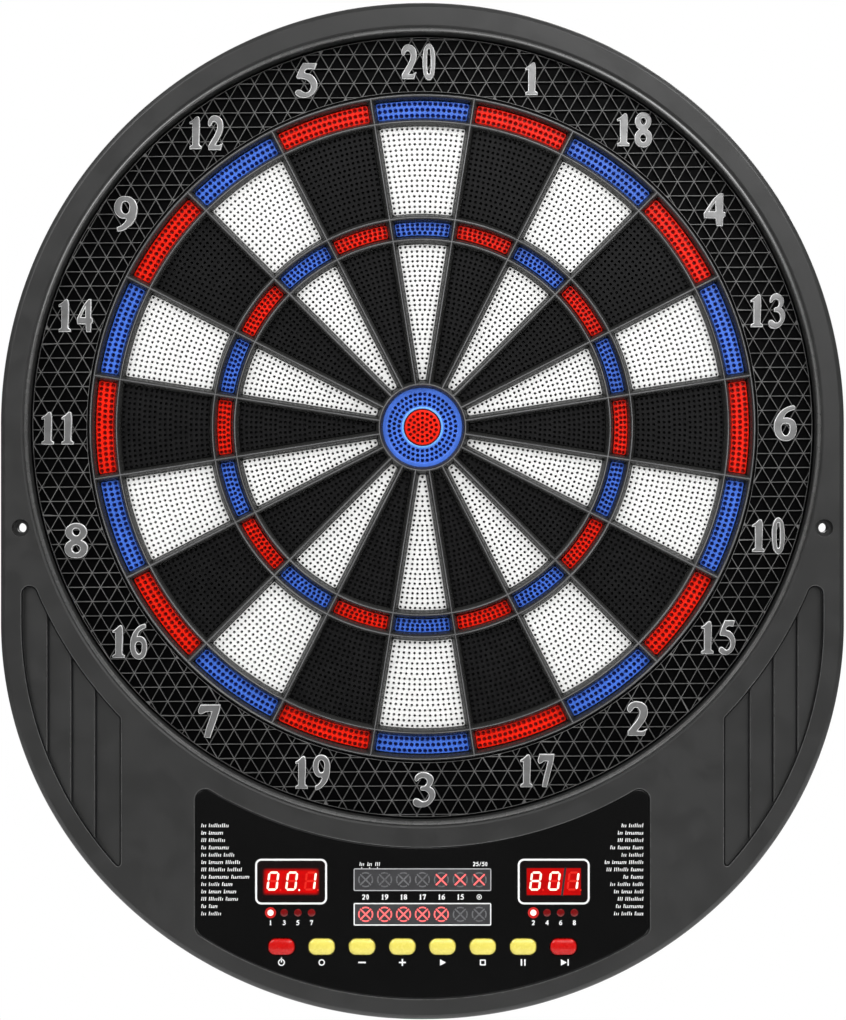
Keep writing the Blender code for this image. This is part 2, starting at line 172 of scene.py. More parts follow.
def fillet(points, radii, steps):
    """Rounds the corners named in radii (point index to radius) of a closed outline."""
    result = []
    for i, point in enumerate(points):
        radius = radii.get(i)
        if not radius:
            result.append(point)
            continue
        before, after = points[i - 1] - point, points[(i + 1) % len(points)] - point
        a, b = math.atan2(before.y, before.x), math.atan2(after.y, after.x)
        half = math.remainder(b - a, 2 * math.pi) / 2
        reach = radius / abs(math.sin(half))
        centre = point + reach * Vector((math.cos(a + half), math.sin(a + half)))
        start = a + math.copysign(math.pi / 2, -half)
        sweep = 2 * half - math.copysign(math.pi, half)
        for k in range(steps + 1):
            turn = start + sweep * k / steps
            result.append(centre + radius * Vector((math.cos(turn), math.sin(turn))))
    return result


def rounded(points, corners, radius, steps):
    """Rounds the named corners alike, without the points that stand in the way."""
    ends = [points[i] for i in corners]
    clear = [p for p in points if p in ends or min((p - end).length for end in ends) > 2 * radius]
    return fillet(clear, {clear.index(end): radius for end in ends}, steps)


def rounded_rectangle(width, height, radius, centre=(0.0, 0.0), steps=6):
    return fillet(rectangle(width, height, centre), dict.fromkeys(range(4), radius), steps)


def outline(offset):
    """The housing's outline moved inwards by offset, at equal clock angles."""
    radius, height = TOP_RADIUS - offset, ELLIPSE_HEIGHT - offset
    points = []
    for i in range(OUTLINE_POINTS):
        ray = polar(360.0 * i / OUTLINE_POINTS, 1.0)
        reach = radius + TOP_LIFT * max(ray.y, 0.0)
        if ray.y < -1e-9:
            reach = radius / abs(ray.x) if abs(ray.x) > 1e-9 else 1e9
            if reach * ray.y < ELLIPSE_Z:
                a = (ray.x / radius) ** 2 + (ray.y / height) ** 2
                b = -2 * ray.y * ELLIPSE_Z / height**2
                c = (ELLIPSE_Z / height) ** 2 - 1
                reach = (-b + math.sqrt(b * b - 4 * a * c)) / (2 * a)
        points.append(ray * reach)
    return points


def lower_edge(x, offset):
    """Z of the outline's lower half-ellipse at x, moved inwards by offset."""
    share = x / (TOP_RADIUS - offset)
    return ELLIPSE_Z - (ELLIPSE_HEIGHT - offset) * math.sqrt(1 - share * share)


def panel_outline(inset):
    half = PANEL_HALF_WIDTH - inset
    radius = PANEL_TOP_RADIUS + inset
    steps = 60
    xs = [half - 2 * half * i / steps for i in range(steps + 1)]
    top = [Vector((x, -math.sqrt(radius * radius - x * x))) for x in xs]
    bottom = [Vector((-x, lower_edge(x, PANEL_MARGIN + inset))) for x in xs]
    return rounded(top + bottom, (0, steps, steps + 1, 2 * steps + 1), CORNER, 10)


def pocket_outline(side):
    """One of the two recesses beside the target; side is 1 on the right and -1 on the left."""
    outer_x = TOP_RADIUS - POCKET_MARGIN
    steps = 40
    edge = [Vector((outer_x, -math.sqrt(POCKET_ARC**2 - outer_x**2)))]
    for i in range(steps + 1):
        x = outer_x * math.cos(math.acos(POCKET_INNER_X / outer_x) * i / steps)
        edge.append(Vector((x, lower_edge(x, POCKET_MARGIN))))
    low = math.degrees(math.acos(POCKET_INNER_X / POCKET_ARC))
    high = math.degrees(math.acos(outer_x / POCKET_ARC))
    for i in range(steps):
        turn = math.radians(low + (high - low) * i / steps)
        edge.append(Vector((POCKET_ARC * math.cos(turn), -POCKET_ARC * math.sin(turn))))
    edge = edge[:-8]
    edge = fillet(edge, {0: 3.7, steps + 1: 1.0, steps + 2: 1.6}, 6)
    return [Vector((side * p.x, p.y)) for p in edge]


def sector(radii, inset, steps, corner=0.0):
    """Outline of a wedge cell between two radii, its sides moved in from the wedge's edges."""
    points = []
    for radius, direction in ((radii[0], 1), (radii[1], -1)):
        half = WEDGE / 2 - math.degrees(math.asin(inset / radius))
        for i in range(steps + 1):
            points.append(polar(direction * half * (2 * i / steps - 1), radius))
    return rounded(points, (0, steps, steps + 1, 2 * steps + 1), corner, 3) if corner else points


def turn_points(points, angle):
    turn = math.radians(angle)
    cos, sin = math.cos(turn), math.sin(turn)
    return [Vector((p.x * cos + p.y * sin, p.y * cos - p.x * sin)) for p in points]


def screw_centres():
    ring = [polar(side * angle, SCREW_RING) for angle in SCREW_ANGLES for side in (-1, 1)]
    return ring + [Vector((side * x, z)) for x, z in SCREW_PLACES for side in (-1, 1)]


def hang_centres():
    return [Vector((side * HANG_HOLE[0], HANG_HOLE[1])) for side in (-1, 1)]


def node_centre(node):
    low, high = cad(node)
    return Vector(((low.x + high.x) / 2, (low.z + high.z) / 2))


BUTTON_CENTRES = [node_centre(f"button_{i}") for i in range(1, 9)]
BUTTON_SIZE = (13.7, 8.4)
KEY_DOME = 1.75
KEY_STEPS = 8


def stadium(grow, centre, steps=6):
    width, height = BUTTON_SIZE[0] + 2 * grow, BUTTON_SIZE[1] + 2 * grow
    return rounded_rectangle(width, height, height * 0.45, centre, steps)


# ---------------------------------------------------------------- meshes


class Shell:
    """A mesh under construction, made of rings of points that are bridged, filled or capped."""

    def __init__(self):
        self.bm = bmesh.new()
        self.slot = 0

    def face(self, verts):
        made = self.bm.faces.new(verts)
        made.material_index = self.slot
        return made

    def ring(self, points, y):
        return [self.bm.verts.new((p[0], y, p[1])) for p in points]

    def bridge(self, first, second):
        count = len(first)
        for i in range(count):
            j = (i + 1) % count
            self.face((first[i], first[j], second[j], second[i]))

    def stack(self, levels, start=None):
        """Bridges rings given as (points, y) in turn, from the ring start if there is one."""
        rings = [start] if start else []
        rings += [self.ring(points, y) for points, y in levels]
        for low, high in zip(rings, rings[1:]):
            self.bridge(low, high)
        return rings

    def fill(self, outer, holes=()):
        """Closes a level ring with flat triangles, leaving out the rings inside it."""
        verts = [v for loop in (outer, *holes) for v in loop]
        flat = [Vector((v.co.x, v.co.z)) for v in verts]
        loops, start = [], 0
        for loop in (outer, *holes):
            indices = list(range(start, start + len(loop)))
            start += len(loop)
            if signed_area([flat[i] for i in indices]) < 0:
                indices.reverse()
            loops.append(indices)
        result = geometry.delaunay_2d_cdt(flat, [], loops, 1, 1e-4)
        triangles, origins, owners = result[2], result[3], result[5]
        for triangle, owner in zip(triangles, owners):
            if list(owner) == [0]:
                self.face([verts[origins[i][0]] for i in triangle])

    def turned(self, profile, steps, centre=(0.0, 0.0), start=None):
        """Bridges circles given as (radius, y), all about the same centre."""
        return self.stack([(circle(radius, steps, centre), y) for radius, y in profile], start)

    def closed(self, rings):
        """Fills the first and the last of some rings."""
        self.fill(rings[0])
        self.fill(rings[-1])

    def place(self, turn, spot):
        """Turns everything about the upright axis by turn degrees, and then moves it by spot."""
        matrix = Matrix.Rotation(math.radians(turn), 3, "Z")
        bmesh.ops.rotate(self.bm, matrix=matrix, verts=self.bm.verts)
        bmesh.ops.translate(self.bm, vec=spot, verts=self.bm.verts)

    def mesh(self, name):
        """Ends the construction and returns it as a mesh in metres."""
        bmesh.ops.recalc_face_normals(self.bm, faces=self.bm.faces)
        bmesh.ops.scale(self.bm, vec=(MM, MM, MM), verts=self.bm.verts)
        mesh = bpy.data.meshes.new(name)
        self.bm.to_mesh(mesh)
        self.bm.free()
        return mesh

    def finish(self, name, looks, body, nodes=(), sharp=32.0, weighted=True):
        return add_piece(name, self.mesh(name), looks, body, nodes, sharp, weighted)


def new_object(name, data):
    made = bpy.data.objects.new(name, data)
    bpy.context.collection.objects.link(made)
    return made


def evaluated_mesh(item):
    """The mesh that an object's curve or modifiers make."""
    bpy.context.view_layer.update()
    return bpy.data.meshes.new_from_object(item.evaluated_get(bpy.context.evaluated_depsgraph_get()))


def add_piece(name, mesh, looks, body, nodes=(), sharp=32.0, weighted=True):
    """Makes the piece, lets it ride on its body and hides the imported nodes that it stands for."""
    mesh.shade_smooth()
    mesh.set_sharp_from_angle(angle=math.radians(sharp))
    for look in looks.split():
        mesh.materials.append(LOOKS[look])
    piece = new_object(name, mesh)
    if weighted:
        flatten = piece.modifiers.new("flat_faces", "WEIGHTED_NORMAL")
        flatten.keep_sharp = True
    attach(piece, body)
    if nodes:
        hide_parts(*nodes)
    return piece


# ---------------------------------------------------------------- materials


class Nodes:
    """Short calls for the node tree of a material or world, read in the owner's own coordinates."""

    def __init__(self, owner, shader="Principled BSDF", coordinates="Object"):
        owner.use_nodes = True
        self.owner = owner
        self.tree = owner.node_tree
        self.shader = self.tree.nodes[shader]
        self.place = self.add("TexCoord", coordinates, {})

    def link(self, source, target):
        if isinstance(source, (int, float)):
            target.default_value = source
        elif isinstance(source, tuple):
            target.default_value = (*source, 1.0)[: len(target.default_value)]
        else:
            self.tree.links.new(source, target)

    def add(self, kind, output, inputs, **settings):
        """A new node with its settings and inputs; returns the output that is used."""
        node = self.tree.nodes.new(f"ShaderNode{kind}")
        for name, value in settings.items():
            setattr(node, name, value)
        for name, value in inputs.items():
            self.link(value, node.inputs[name])
        return node.outputs[output]

    def noise(self, size, detail=3.0):
        """Soft random values about 0.5, with blotches of the given size in millimetres."""
        inputs = {"Scale": 1.0 / (size * MM), "Detail": detail, "Vector": self.place}
        return self.add("TexNoise", "Fac", inputs)

    def ramp(self, value, low, high, start=0.35, end=0.65, kind="SMOOTHSTEP"):
        """Maps start..end of a value to low..high."""
        inputs = {"From Min": start, "From Max": end, "To Min": low, "To Max": high, "Value": value}
        return self.add("MapRange", "Result", inputs, interpolation_type=kind)

    def maths(self, operation, first, second=0.0):
        return self.add("Math", "Value", {0: first, 1: second}, operation=operation)

    def mix(self, factor, first, second):
        return self.add("Mix", "Result", {"Factor": factor, "A": first, "B": second}, data_type="RGBA")

    def axis(self, name):
        return self.add("SeparateXYZ", name, {"Vector": self.place})

    def bump(self, height, strength):
        inputs = {"Strength": strength, "Distance": 0.05 * MM, "Height": height}
        self.link(self.add("Bump", "Normal", inputs), self.shader.inputs["Normal"])

    def set(self, **values):
        """Gives the shader its inputs and returns the finished material or world."""
        for name, value in values.items():
            self.link(value, self.shader.inputs[name.replace("_", " ")])
        return self.owner


def shade(colour, factor):
    return tuple(min(channel * factor, 1.0) for channel in colour)


def plastic(name, colour, roughness, spread, mottle, grain, strength, metal=0.0, coat=0.0, shine=0.5):
    """Moulded plastic: faint clouds in its colour, uneven gloss and a fine mould grain."""
    nodes = Nodes(bpy.data.materials.new(name))
    clouds = nodes.noise(mottle, 4.0)
    fine = nodes.noise(grain, 2.0)
    wear = nodes.ramp(nodes.noise(mottle / 5, 5.0), 0.0, 1.0)
    tint = nodes.mix(nodes.ramp(clouds, 0.0, 1.0), shade(colour, 1 - spread), shade(colour, 1 + spread))
    speckled = nodes.mix(nodes.ramp(fine, 0.0, 0.35), tint, shade(colour, 1 + 2 * spread))
    nodes.bump(fine, strength)
    return nodes.set(
        Base_Color=speckled,
        Roughness=nodes.ramp(wear, roughness * 0.88, min(roughness * 1.12, 1.0), 0.0, 1.0),
        Metallic=metal,
        Coat_Weight=coat,
        Coat_Roughness=0.12,
        Specular_IOR_Level=shine,
    )


def glow(name, colour, strength, depth=0.15):
    """A lit part: bright plastic whose light varies a little from place to place."""
    nodes = Nodes(bpy.data.materials.new(name))
    blotch = nodes.ramp(nodes.noise(1.5, 2.0), 1 - depth, 1.0)
    return nodes.set(
        Base_Color=nodes.mix(blotch, shade(colour, 0.3), shade(colour, 0.5)),
        Roughness=0.35,
        Emission_Color=nodes.mix(blotch, shade(colour, 0.7), colour),
        Emission_Strength=strength,
    )


def window_glow(name, centre, half, soft, colour):
    """A dark window whose middle glows: full inside half (x, z), fading out over soft millimetres."""
    nodes = Nodes(bpy.data.materials.new(name))
    parts = []
    for axis, middle, reach in (("X", centre.x, half[0]), ("Z", centre.y, half[1])):
        away = nodes.maths("ABSOLUTE", nodes.maths("SUBTRACT", nodes.axis(axis), middle * MM))
        parts.append(nodes.ramp(away, 1.0, 0.0, (reach - soft) * MM, (reach + soft) * MM))
    level = nodes.maths("MULTIPLY", parts[0], parts[1])
    clouds = nodes.ramp(nodes.noise(6.0, 2.0), 0.72, 1.0, 0.25, 0.75)
    level = nodes.maths("MULTIPLY", level, clouds)
    return nodes.set(
        Base_Color=nodes.mix(level, (0.006, 0.003, 0.003), shade(colour, 0.35)),
        Roughness=nodes.ramp(nodes.noise(20.0), 0.08, 0.14),
        Emission_Color=nodes.mix(level, (0.0, 0.0, 0.0), colour),
        Emission_Strength=1.0,
    )


LOOKS = {
    "housing": plastic("housing_grain", (0.0225, 0.0225, 0.0222), 0.41, 0.06, 90.0, 0.35, 0.2, shine=0.4),
    # The edge look is lighter than the housing: a painted highlight on the rim's lip, the panel's rim, the
    # pockets' rims and their crests.
    "edge": plastic("painted_edge_highlight", (0.058, 0.058, 0.057), 0.27, 0.15, 40.0, 0.35, 0.1, shine=0.85),
    "spider": plastic("spider_gloss", (0.018, 0.018, 0.0175), 0.27, 0.1, 30.0, 0.4, 0.05),
    # Painted highlight: the web's crests are given a lighter grey than the web.
    "crest": plastic("spider_crest", (0.11, 0.11, 0.113), 0.34, 0.2, 20.0, 0.4, 0.1),
    "catch": plastic("catch_ring_gloss", (0.0013, 0.0013, 0.0015), 0.42, 0.2, 12.0, 0.6, 0.1, shine=0.04),
    # Painted highlight: the rib tops are given a lighter grey than the ring.
    "rib": plastic("rib_top_painted_highlight", (0.105, 0.104, 0.102), 0.4, 0.25, 25.0, 0.5, 0.1),
    "white": plastic("segment_white", (0.76, 0.76, 0.75), 0.42, 0.03, 25.0, 0.4, 0.08),
    "black": plastic("segment_black", (0.0058, 0.0058, 0.006), 0.4, 0.15, 25.0, 0.4, 0.1, shine=0.12),
    "blue": plastic("segment_blue", (0.05, 0.145, 0.60), 0.34, 0.12, 10.0, 0.4, 0.08, shine=0.28),
    "red": plastic("segment_red", (0.76, 0.012, 0.002), 0.36, 0.1, 10.0, 0.4, 0.08, shine=0.18),
    # Painted highlight: the outer bull's rounded inner lip is given a lighter blue than the bull.
    "lip": plastic("bull_lip_painted_highlight", (0.13, 0.36, 0.80), 0.34, 0.08, 6.0, 0.4, 0.08),
    # Hole floors are flat colours painted in place of the shade inside through holes: darker than the face on
    # white, blue and red faces, while the black faces' floor is lighter than the face.
    "white_pit": plastic("white_hole_painted_shade", (0.014, 0.014, 0.015), 0.7, 0.2, 5.0, 0.5, 0.2),
    "black_pit": plastic("black_hole", (0.026, 0.026, 0.027), 0.6, 0.2, 5.0, 0.5, 0.2),
    "blue_pit": plastic("blue_hole_painted_shade", (0.004, 0.022, 0.17), 0.5, 0.2, 5.0, 0.5, 0.2),
    "red_pit": plastic("red_hole_painted_shade", (0.30, 0.002, 0.001), 0.5, 0.2, 5.0, 0.5, 0.2),
    "silver": plastic("number_silver", (0.22, 0.22, 0.22), 0.36, 0.12, 6.0, 0.25, 0.2, metal=0.6),
    # Painted highlight: the numbers' bevelled sides are much lighter than their tops.
    "silver_edge": plastic("number_edge_painted_highlight", (0.80, 0.80, 0.80), 0.3, 0.05, 6.0, 0.25, 0.1, metal=0.3),
    "lens": plastic("lens_gloss", (0.003, 0.003, 0.003), 0.09, 0.1, 50.0, 1.5, 0.01, shine=0.4),
    "print": plastic("print_white", (0.82, 0.82, 0.82), 0.35, 0.04, 10.0, 0.3, 0.05),
    "dim_print": plastic("print_grey", (0.42, 0.42, 0.43), 0.35, 0.05, 10.0, 0.3, 0.05),
    "button_red": plastic("key_red", (0.52, 0.004, 0.003), 0.26, 0.02, 8.0, 0.8, 0.04, coat=0.15, shine=0.3),
    "button_yellow": plastic("key_yellow", (0.76, 0.66, 0.12), 0.26, 0.02, 8.0, 0.8, 0.04, coat=0.25),
    "steel": plastic("zinc_steel", (0.45, 0.44, 0.42), 0.32, 0.15, 3.0, 0.3, 0.15, metal=1.0),
    "brass": plastic("contact_brass", (0.62, 0.46, 0.22), 0.3, 0.1, 3.0, 0.3, 0.1, metal=1.0),
    "digit_lit": glow("digit_lit", (1.0, 0.80, 0.66), 1.1),
    "digit_dim": glow("digit_dim", (0.60, 0.006, 0.0), 0.9),
    "mark_face": plastic("mark_window", (0.045, 0.045, 0.047), 0.12, 0.15, 12.0, 0.8, 0.02, shine=0.4),
    "mark_dim": plastic("mark_dim", (0.115, 0.115, 0.12), 0.3, 0.15, 8.0, 0.5, 0.05),
    "mark_lit": glow("mark_lit", (1.0, 0.14, 0.14), 1.0),
    "lamp_dark": plastic("lamp_dark", (0.15, 0.0015, 0.002), 0.2, 0.15, 3.0, 0.5, 0.05),
    "lamp_lit": glow("lamp_lit", (1.0, 0.72, 0.66), 1.2),
    # Painted glow: the lit lamp's light on the lens round it, as a glowing disc.
    "lamp_halo": glow("lamp_halo", (0.42, 0.005, 0.003), 0.9, 0.3),
    # The jack's own black, also laid in the pockets as painted shade: the groove round each pocket and a
    # strip before each step.
    "jack": plastic("jack_black", (0.008, 0.008, 0.009), 0.42, 0.1, 6.0, 0.3, 0.15),
}


# ---------------------------------------------------------------- housing

# The bezel's outer edge as (offset from the outline, y), and the rim round the target as (radius, y)
BEAD_PROFILE = (
    (WALL_THICKNESS, CASE_SPLIT), (0.35, CASE_SPLIT), (0.0, CASE_SPLIT - 0.35), (0.0, FACE_FRONT + 4.4),
    (0.1, FACE_FRONT + 3.4), (0.4, FACE_FRONT + 2.5), (1.0, FACE_FRONT + 1.65), (2.0, FACE_FRONT + 0.75),
    (2.8, FACE_FRONT + 0.2), (3.05, FACE_FRONT + 0.06), (3.3, FACE_FRONT),
)
RIM_PROFILE = (
    (210.4, FACE_FRONT), (209.9, FACE_FRONT + 0.06), (209.4, FACE_FRONT + 0.4), (208.9, FACE_FRONT + 0.45),
    (208.5, BEAD_FRONT + 0.75), (208.1, BEAD_FRONT + 0.26), (207.5, BEAD_FRONT), (207.0, BEAD_FRONT + 0.06),
    (206.62, BEAD_FRONT + 0.42), (206.43, BEAD_FRONT + 1.1), (RIM_RADIUS, BEAD_FRONT + 2.4),
    (RIM_RADIUS, -23.3), (RIM_RADIUS + GAP, -23.0), (RIM_OUTSIDE, -23.0), (RIM_OUTSIDE, FACE_BACK),
)
# The lip is given the lighter edge look, a painted highlight.
LIP = slice(4, 10)


def add_bezel():
    shell = Shell()
    inside = shell.ring(outline(WALL_THICKNESS), FACE_BACK)
    levels = [(outline(offset), y) for offset, y in BEAD_PROFILE]
    outer = shell.stack(levels, inside)[-1]
    rim_levels = [(circle(radius, OUTLINE_POINTS), y) for radius, y in RIM_PROFILE]
    rim = shell.stack(rim_levels[: LIP.start + 1])
    # Painted highlight: the lip takes the lighter edge look.
    shell.slot = 1
    rim += shell.stack(rim_levels[LIP.start + 1 : LIP.stop], rim[-1])
    shell.slot = 0
    rim += shell.stack(rim_levels[LIP.stop :], rim[-1])
    front_holes, back_holes = [rim[0]], [rim[-1]]
    for side in (-1, 1):
        front_holes.append(add_pocket(shell, side))
    for centre in hang_centres():
        front, back = add_hanging_tube(shell, centre)
        front_holes.append(front)
        back_holes.append(back)
    edge = panel_outline(0.0)
    # Painted highlight: the rim of the panel recess takes the lighter edge look.
    shell.slot = 1
    panel = shell.stack([(grown(edge, 0.55), FACE_FRONT), (grown(edge, 0.15), FACE_FRONT + 0.12)])
    shell.slot = 0
    panel += shell.stack([(edge, FACE_FRONT + 0.45), (edge, FACE_FRONT + PANEL_DEPTH)], panel[-1])
    front_holes.append(panel[0])
    window = rounded_rectangle(180.0, 38.5, 3.0, (0.0, -243.25))
    openings = [window] + [stadium(0.35, centre) for centre in BUTTON_CENTRES]
    depths = (FACE_FRONT + PANEL_DEPTH, FACE_BACK)
    through = [shell.stack([(points, y) for y in depths]) for points in openings]
    shell.fill(panel[-1], [rings[0] for rings in through])
    back_holes += [rings[-1] for rings in through]
    for centre in screw_centres():
        levels = [(3.4, FACE_BACK), (3.4, FLOOR - GAP), (1.9, FLOOR - GAP), (1.9, FACE_BACK + 4.0)]
        boss = shell.turned(levels, 16, centre)
        shell.fill(boss[-1])
        back_holes.append(boss[0])
    shell.fill(outer, front_holes)
    shell.fill(inside, back_holes)
    shell.finish("bezel", "housing edge jack", "housing", ["front_bezel"])


def hanging_slot(centre, radius, reach):
    """A circle drawn out by reach, away from the middle of the board."""
    return [p + Vector((math.copysign(reach, centre.x), 0.0)) * ((p.x - centre.x) * centre.x > 0)
            for p in circle(radius, 40, centre, 4.5)]


def add_hanging_tube(shell, centre):
    """Counterbored seat for a wall screw and the slot behind it; returns its front and back rings."""
    foot = FLOOR - GAP
    levels = [
        (4.85, 0.0, FACE_FRONT), (4.6, 0.0, FACE_FRONT + 0.1), (4.5, 0.0, FACE_FRONT + 0.35),
        (4.5, 0.0, -30.0), (2.75, 0.0, -30.0), (2.5, 0.0, -29.75), (2.5, 0.0, -28.8),
        (2.7, HANG_SLOT, -28.6), (2.7, HANG_SLOT, foot), (3.6, HANG_SLOT, foot), (3.6, HANG_SLOT, FACE_BACK),
    ]
    rings = shell.stack([(hanging_slot(centre, radius, reach), y) for radius, reach, y in levels])
    return rings[0], rings[-1]


def slat_profile():
    """Saw-tooth floor of a pocket as (distance from the middle, y), upright where x repeats."""
    deep, crest = FACE_FRONT + POCKET_DEPTH, FACE_FRONT + 0.85
    profile = [(POCKET_INNER_X - 5.0, crest - 0.25), (POCKET_INNER_X + 0.6, crest)]
    for x in (171.5, 184.0, 196.5):
        profile += [(x - 0.98, deep - 0.25), (x, deep), (x, crest + 0.55)]
        profile += [(x + 0.42, crest + 0.1), (x + 1.6, crest + 0.12)]
    profile += [(211.0, deep - 0.3)]
    return profile


def split_at(points, cuts):
    """Adds a point wherever a closed outline crosses one of the upright lines x = cut."""
    points = [Vector((next((c for c in cuts if abs(c - p.x) < 0.12), p.x), p.y)) for p in points]
    result = []
    for i, point in enumerate(points):
        after = points[(i + 1) % len(points)]
        result.append(point)
        crossed = [c for c in cuts if min(point.x, after.x) < c < max(point.x, after.x)]
        for cut in sorted(crossed, reverse=after.x < point.x):
            result.append(point.lerp(after, (cut - point.x) / (after.x - point.x)))
    return result


def add_pocket(shell, side):
    """A recess with a saw-tooth floor; returns its ring in the bezel's face."""
    profile = slat_profile()
    cuts = sorted({side * x for x, _ in profile})
    edge = split_at(pocket_outline(side), cuts)
    # Painted highlight: the pocket's rim takes the lighter edge look.
    shell.slot = 1
    rings = shell.stack([(grown(edge, 1.0), FACE_FRONT), (grown(edge, 0.62), FACE_FRONT + 0.12)])
    # Painted shade: the groove round the pocket takes the dark jack look.
    shell.slot = 2
    groove = ((0.58, 0.5), (0.3, 0.9), (0.0, 0.35))
    rim = shell.stack([(grown(edge, grow), FACE_FRONT + drop) for grow, drop in groove], rings[-1])[-1]
    shell.slot = 0
    strips = [(a, b) for a, b in zip(profile, profile[1:]) if b[0] > a[0]]
    floor = {}

    def members(strip):
        low, high = strip[0][0] - 1e-4, strip[1][0] + 1e-4
        return [i for i, p in enumerate(edge) if low < side * p.x < high]

    def level(i, strip):
        (x0, y0), (x1, y1) = strip
        return round(y0 + (y1 - y0) * (side * edge[i].x - x0) / (x1 - x0), 4)

    for strip in strips:
        for i in members(strip):
            y = level(i, strip)
            if (i, y) not in floor:
                floor[i, y] = shell.bm.verts.new((edge[i].x, y, edge[i].y))
    columns = {i: sorted(y for j, y in floor if j == i) for i in range(len(edge))}
    for i in range(len(edge)):
        j = (i + 1) % len(edge)
        middle = side * (edge[i].x + edge[j].x) / 2
        strip = next(s for s in strips if s[0][0] < middle <= s[1][0])
        down = [floor[j, y] for y in columns[j] if y <= level(j, strip)]
        up = [floor[i, y] for y in reversed(columns[i]) if y <= level(i, strip)]
        shell.face([rim[i], rim[j], *down, *up])
    for strip in strips:
        ring = [floor[i, level(i, strip)] for i in members(strip)]
        width = strip[1][0] - strip[0][0]
        # Narrow strips are painted: the light strip on each crest is a painted highlight, and the dark strip
        # before each step is painted shade.
        shell.slot = 1 if width < 0.5 else 2 if width < 1.0 else 0
        if len(ring) > 2:
            shell.face(ring)
    shell.slot = 0
    for a, b in zip(profile, profile[1:]):
        ends = [i for i, p in enumerate(edge) if abs(side * p.x - a[0]) < 1e-4]
        if a[0] == b[0] and len(ends) == 2:
            low, high = [round(a[1], 4), round(b[1], 4)]
            corners = ((ends[0], low), (ends[0], high), (ends[1], high), (ends[1], low))
            shell.face([floor[corner] for corner in corners])
    return rings[0]


def add_cover():
    """The rear tray, with its screw recesses, hanging holes, speaker slots and inner ribs."""
    shell = Shell()
    profile = [
        (3.5, FLOOR), (2.9, COVER_EDGE + 0.2), (2.7, COVER_EDGE), (0.7, COVER_EDGE),
        (0.4, COVER_EDGE + 0.3), (0.5, -9.0), (0.95, -2.9), (1.1, -2.0), (1.5, -1.15), (2.1, -0.5), (2.9, -0.12), (3.7, 0.0),
    ]
    rings = shell.stack([(outline(offset), y) for offset, y in profile])
    holes = []
    for centre in screw_centres():
        levels = [(3.65, 0.0), (3.4, -0.1), (3.3, -0.4), (3.3, -1.6), (1.9, -1.6), (1.9, FLOOR)]
        holes.append(shell.turned(levels, 28, centre))
    for centre in hang_centres():
        levels = [(2.75, 0.0), (2.6, -0.1), (2.55, -0.4), (2.55, FLOOR)]
        holes.append(shell.stack([(hanging_slot(centre, radius, HANG_SLOT), y) for radius, y in levels]))
    for row in range(-2, 3):
        offset = row * 6.0
        reach = math.sqrt(17.0**2 - offset**2)
        slot = rounded_rectangle(2 * reach, 3.0, 1.45, (SPEAKER_CENTRE[0], SPEAKER_CENTRE[1] + offset))
        holes.append(
            shell.stack([(grown(slot, 0.35), 0.0), (grown(slot, 0.1), -0.1), (slot, -0.4), (slot, FLOOR)])
        )
    recess = rounded_rectangle(96.0, 54.0, 4.0, (0.0, -236.0))
    steps = shell.stack([(grown(recess, 0.3), 0.0), (recess, -0.3), (grown(recess, -0.3), -0.9)])
    shell.fill(steps[-1])
    shell.fill(rings[-1], [hole[0] for hole in holes] + [steps[0], add_grooves(shell)])
    outer_rib = shell.turned(((207, FLOOR), (207, -20.7), (205, -20.7), (205, FLOOR)), 120)
    inner_rib = shell.turned(((167, FLOOR), (167, -10.5), (165, -10.5), (165, FLOOR)), 120)
    shell.fill(rings[0], [outer_rib[0]] + [hole[-1] for hole in holes])
    shell.fill(outer_rib[-1], [inner_rib[0]])
    shell.fill(inner_rib[-1])
    cover = shell.finish("cover", "housing", "housing", ["rear_cover"])
    cut_jack_hole(cover)


def add_grooves(shell):
    """Two round stiffening grooves and the flat back inside them; returns the outermost ring."""
    grooves = []
    for radius in (188.0, 120.0):
        levels = [(radius + 2.0, 0.0), (radius + 1.6, -0.9), (radius - 1.6, -0.9), (radius - 2.0, 0.0)]
        grooves.append(shell.turned(levels, 180))
    shell.fill(grooves[0][-1], [grooves[1][0]])
    shell.fill(grooves[1][-1])
    return grooves[0][0]


def cut_jack_hole(cover):
    low, high = cad("supply_jack")
    shell = Shell()
    shell.closed(shell.turned(((3.75, -8.0), (3.75, 8.0)), 40))
    shell.place(90, (high.x, (low.y + high.y) / 2, (low.z + high.z) / 2))
    cutter = new_object("jack_cutter", shell.mesh("jack_cutter"))
    cut = cover.modifiers.new("jack_hole", "BOOLEAN")
    cut.operation = "DIFFERENCE"
    cut.solver = "EXACT"
    cut.object = cutter
    cover.modifiers.move(1, 0)
    whole = evaluated_mesh(cover)
    cover.modifiers.clear()
    cover.data = whole
    bpy.data.objects.remove(cutter, do_unlink=True)


# ---------------------------------------------------------------- catch ring and numbers


def clipped(points, normal, limit):
    """The part of a convex outline where the distance along normal stays under limit."""
    result = []
    for i, point in enumerate(points):
        before = points[i - 1]
        inside, was_inside = point.dot(normal) <= limit, before.dot(normal) <= limit
        if inside != was_inside:
            share = (limit - before.dot(normal)) / (point.dot(normal) - before.dot(normal))
            result.append(before.lerp(point, share))
        if inside:
            result.append(point)
    return result


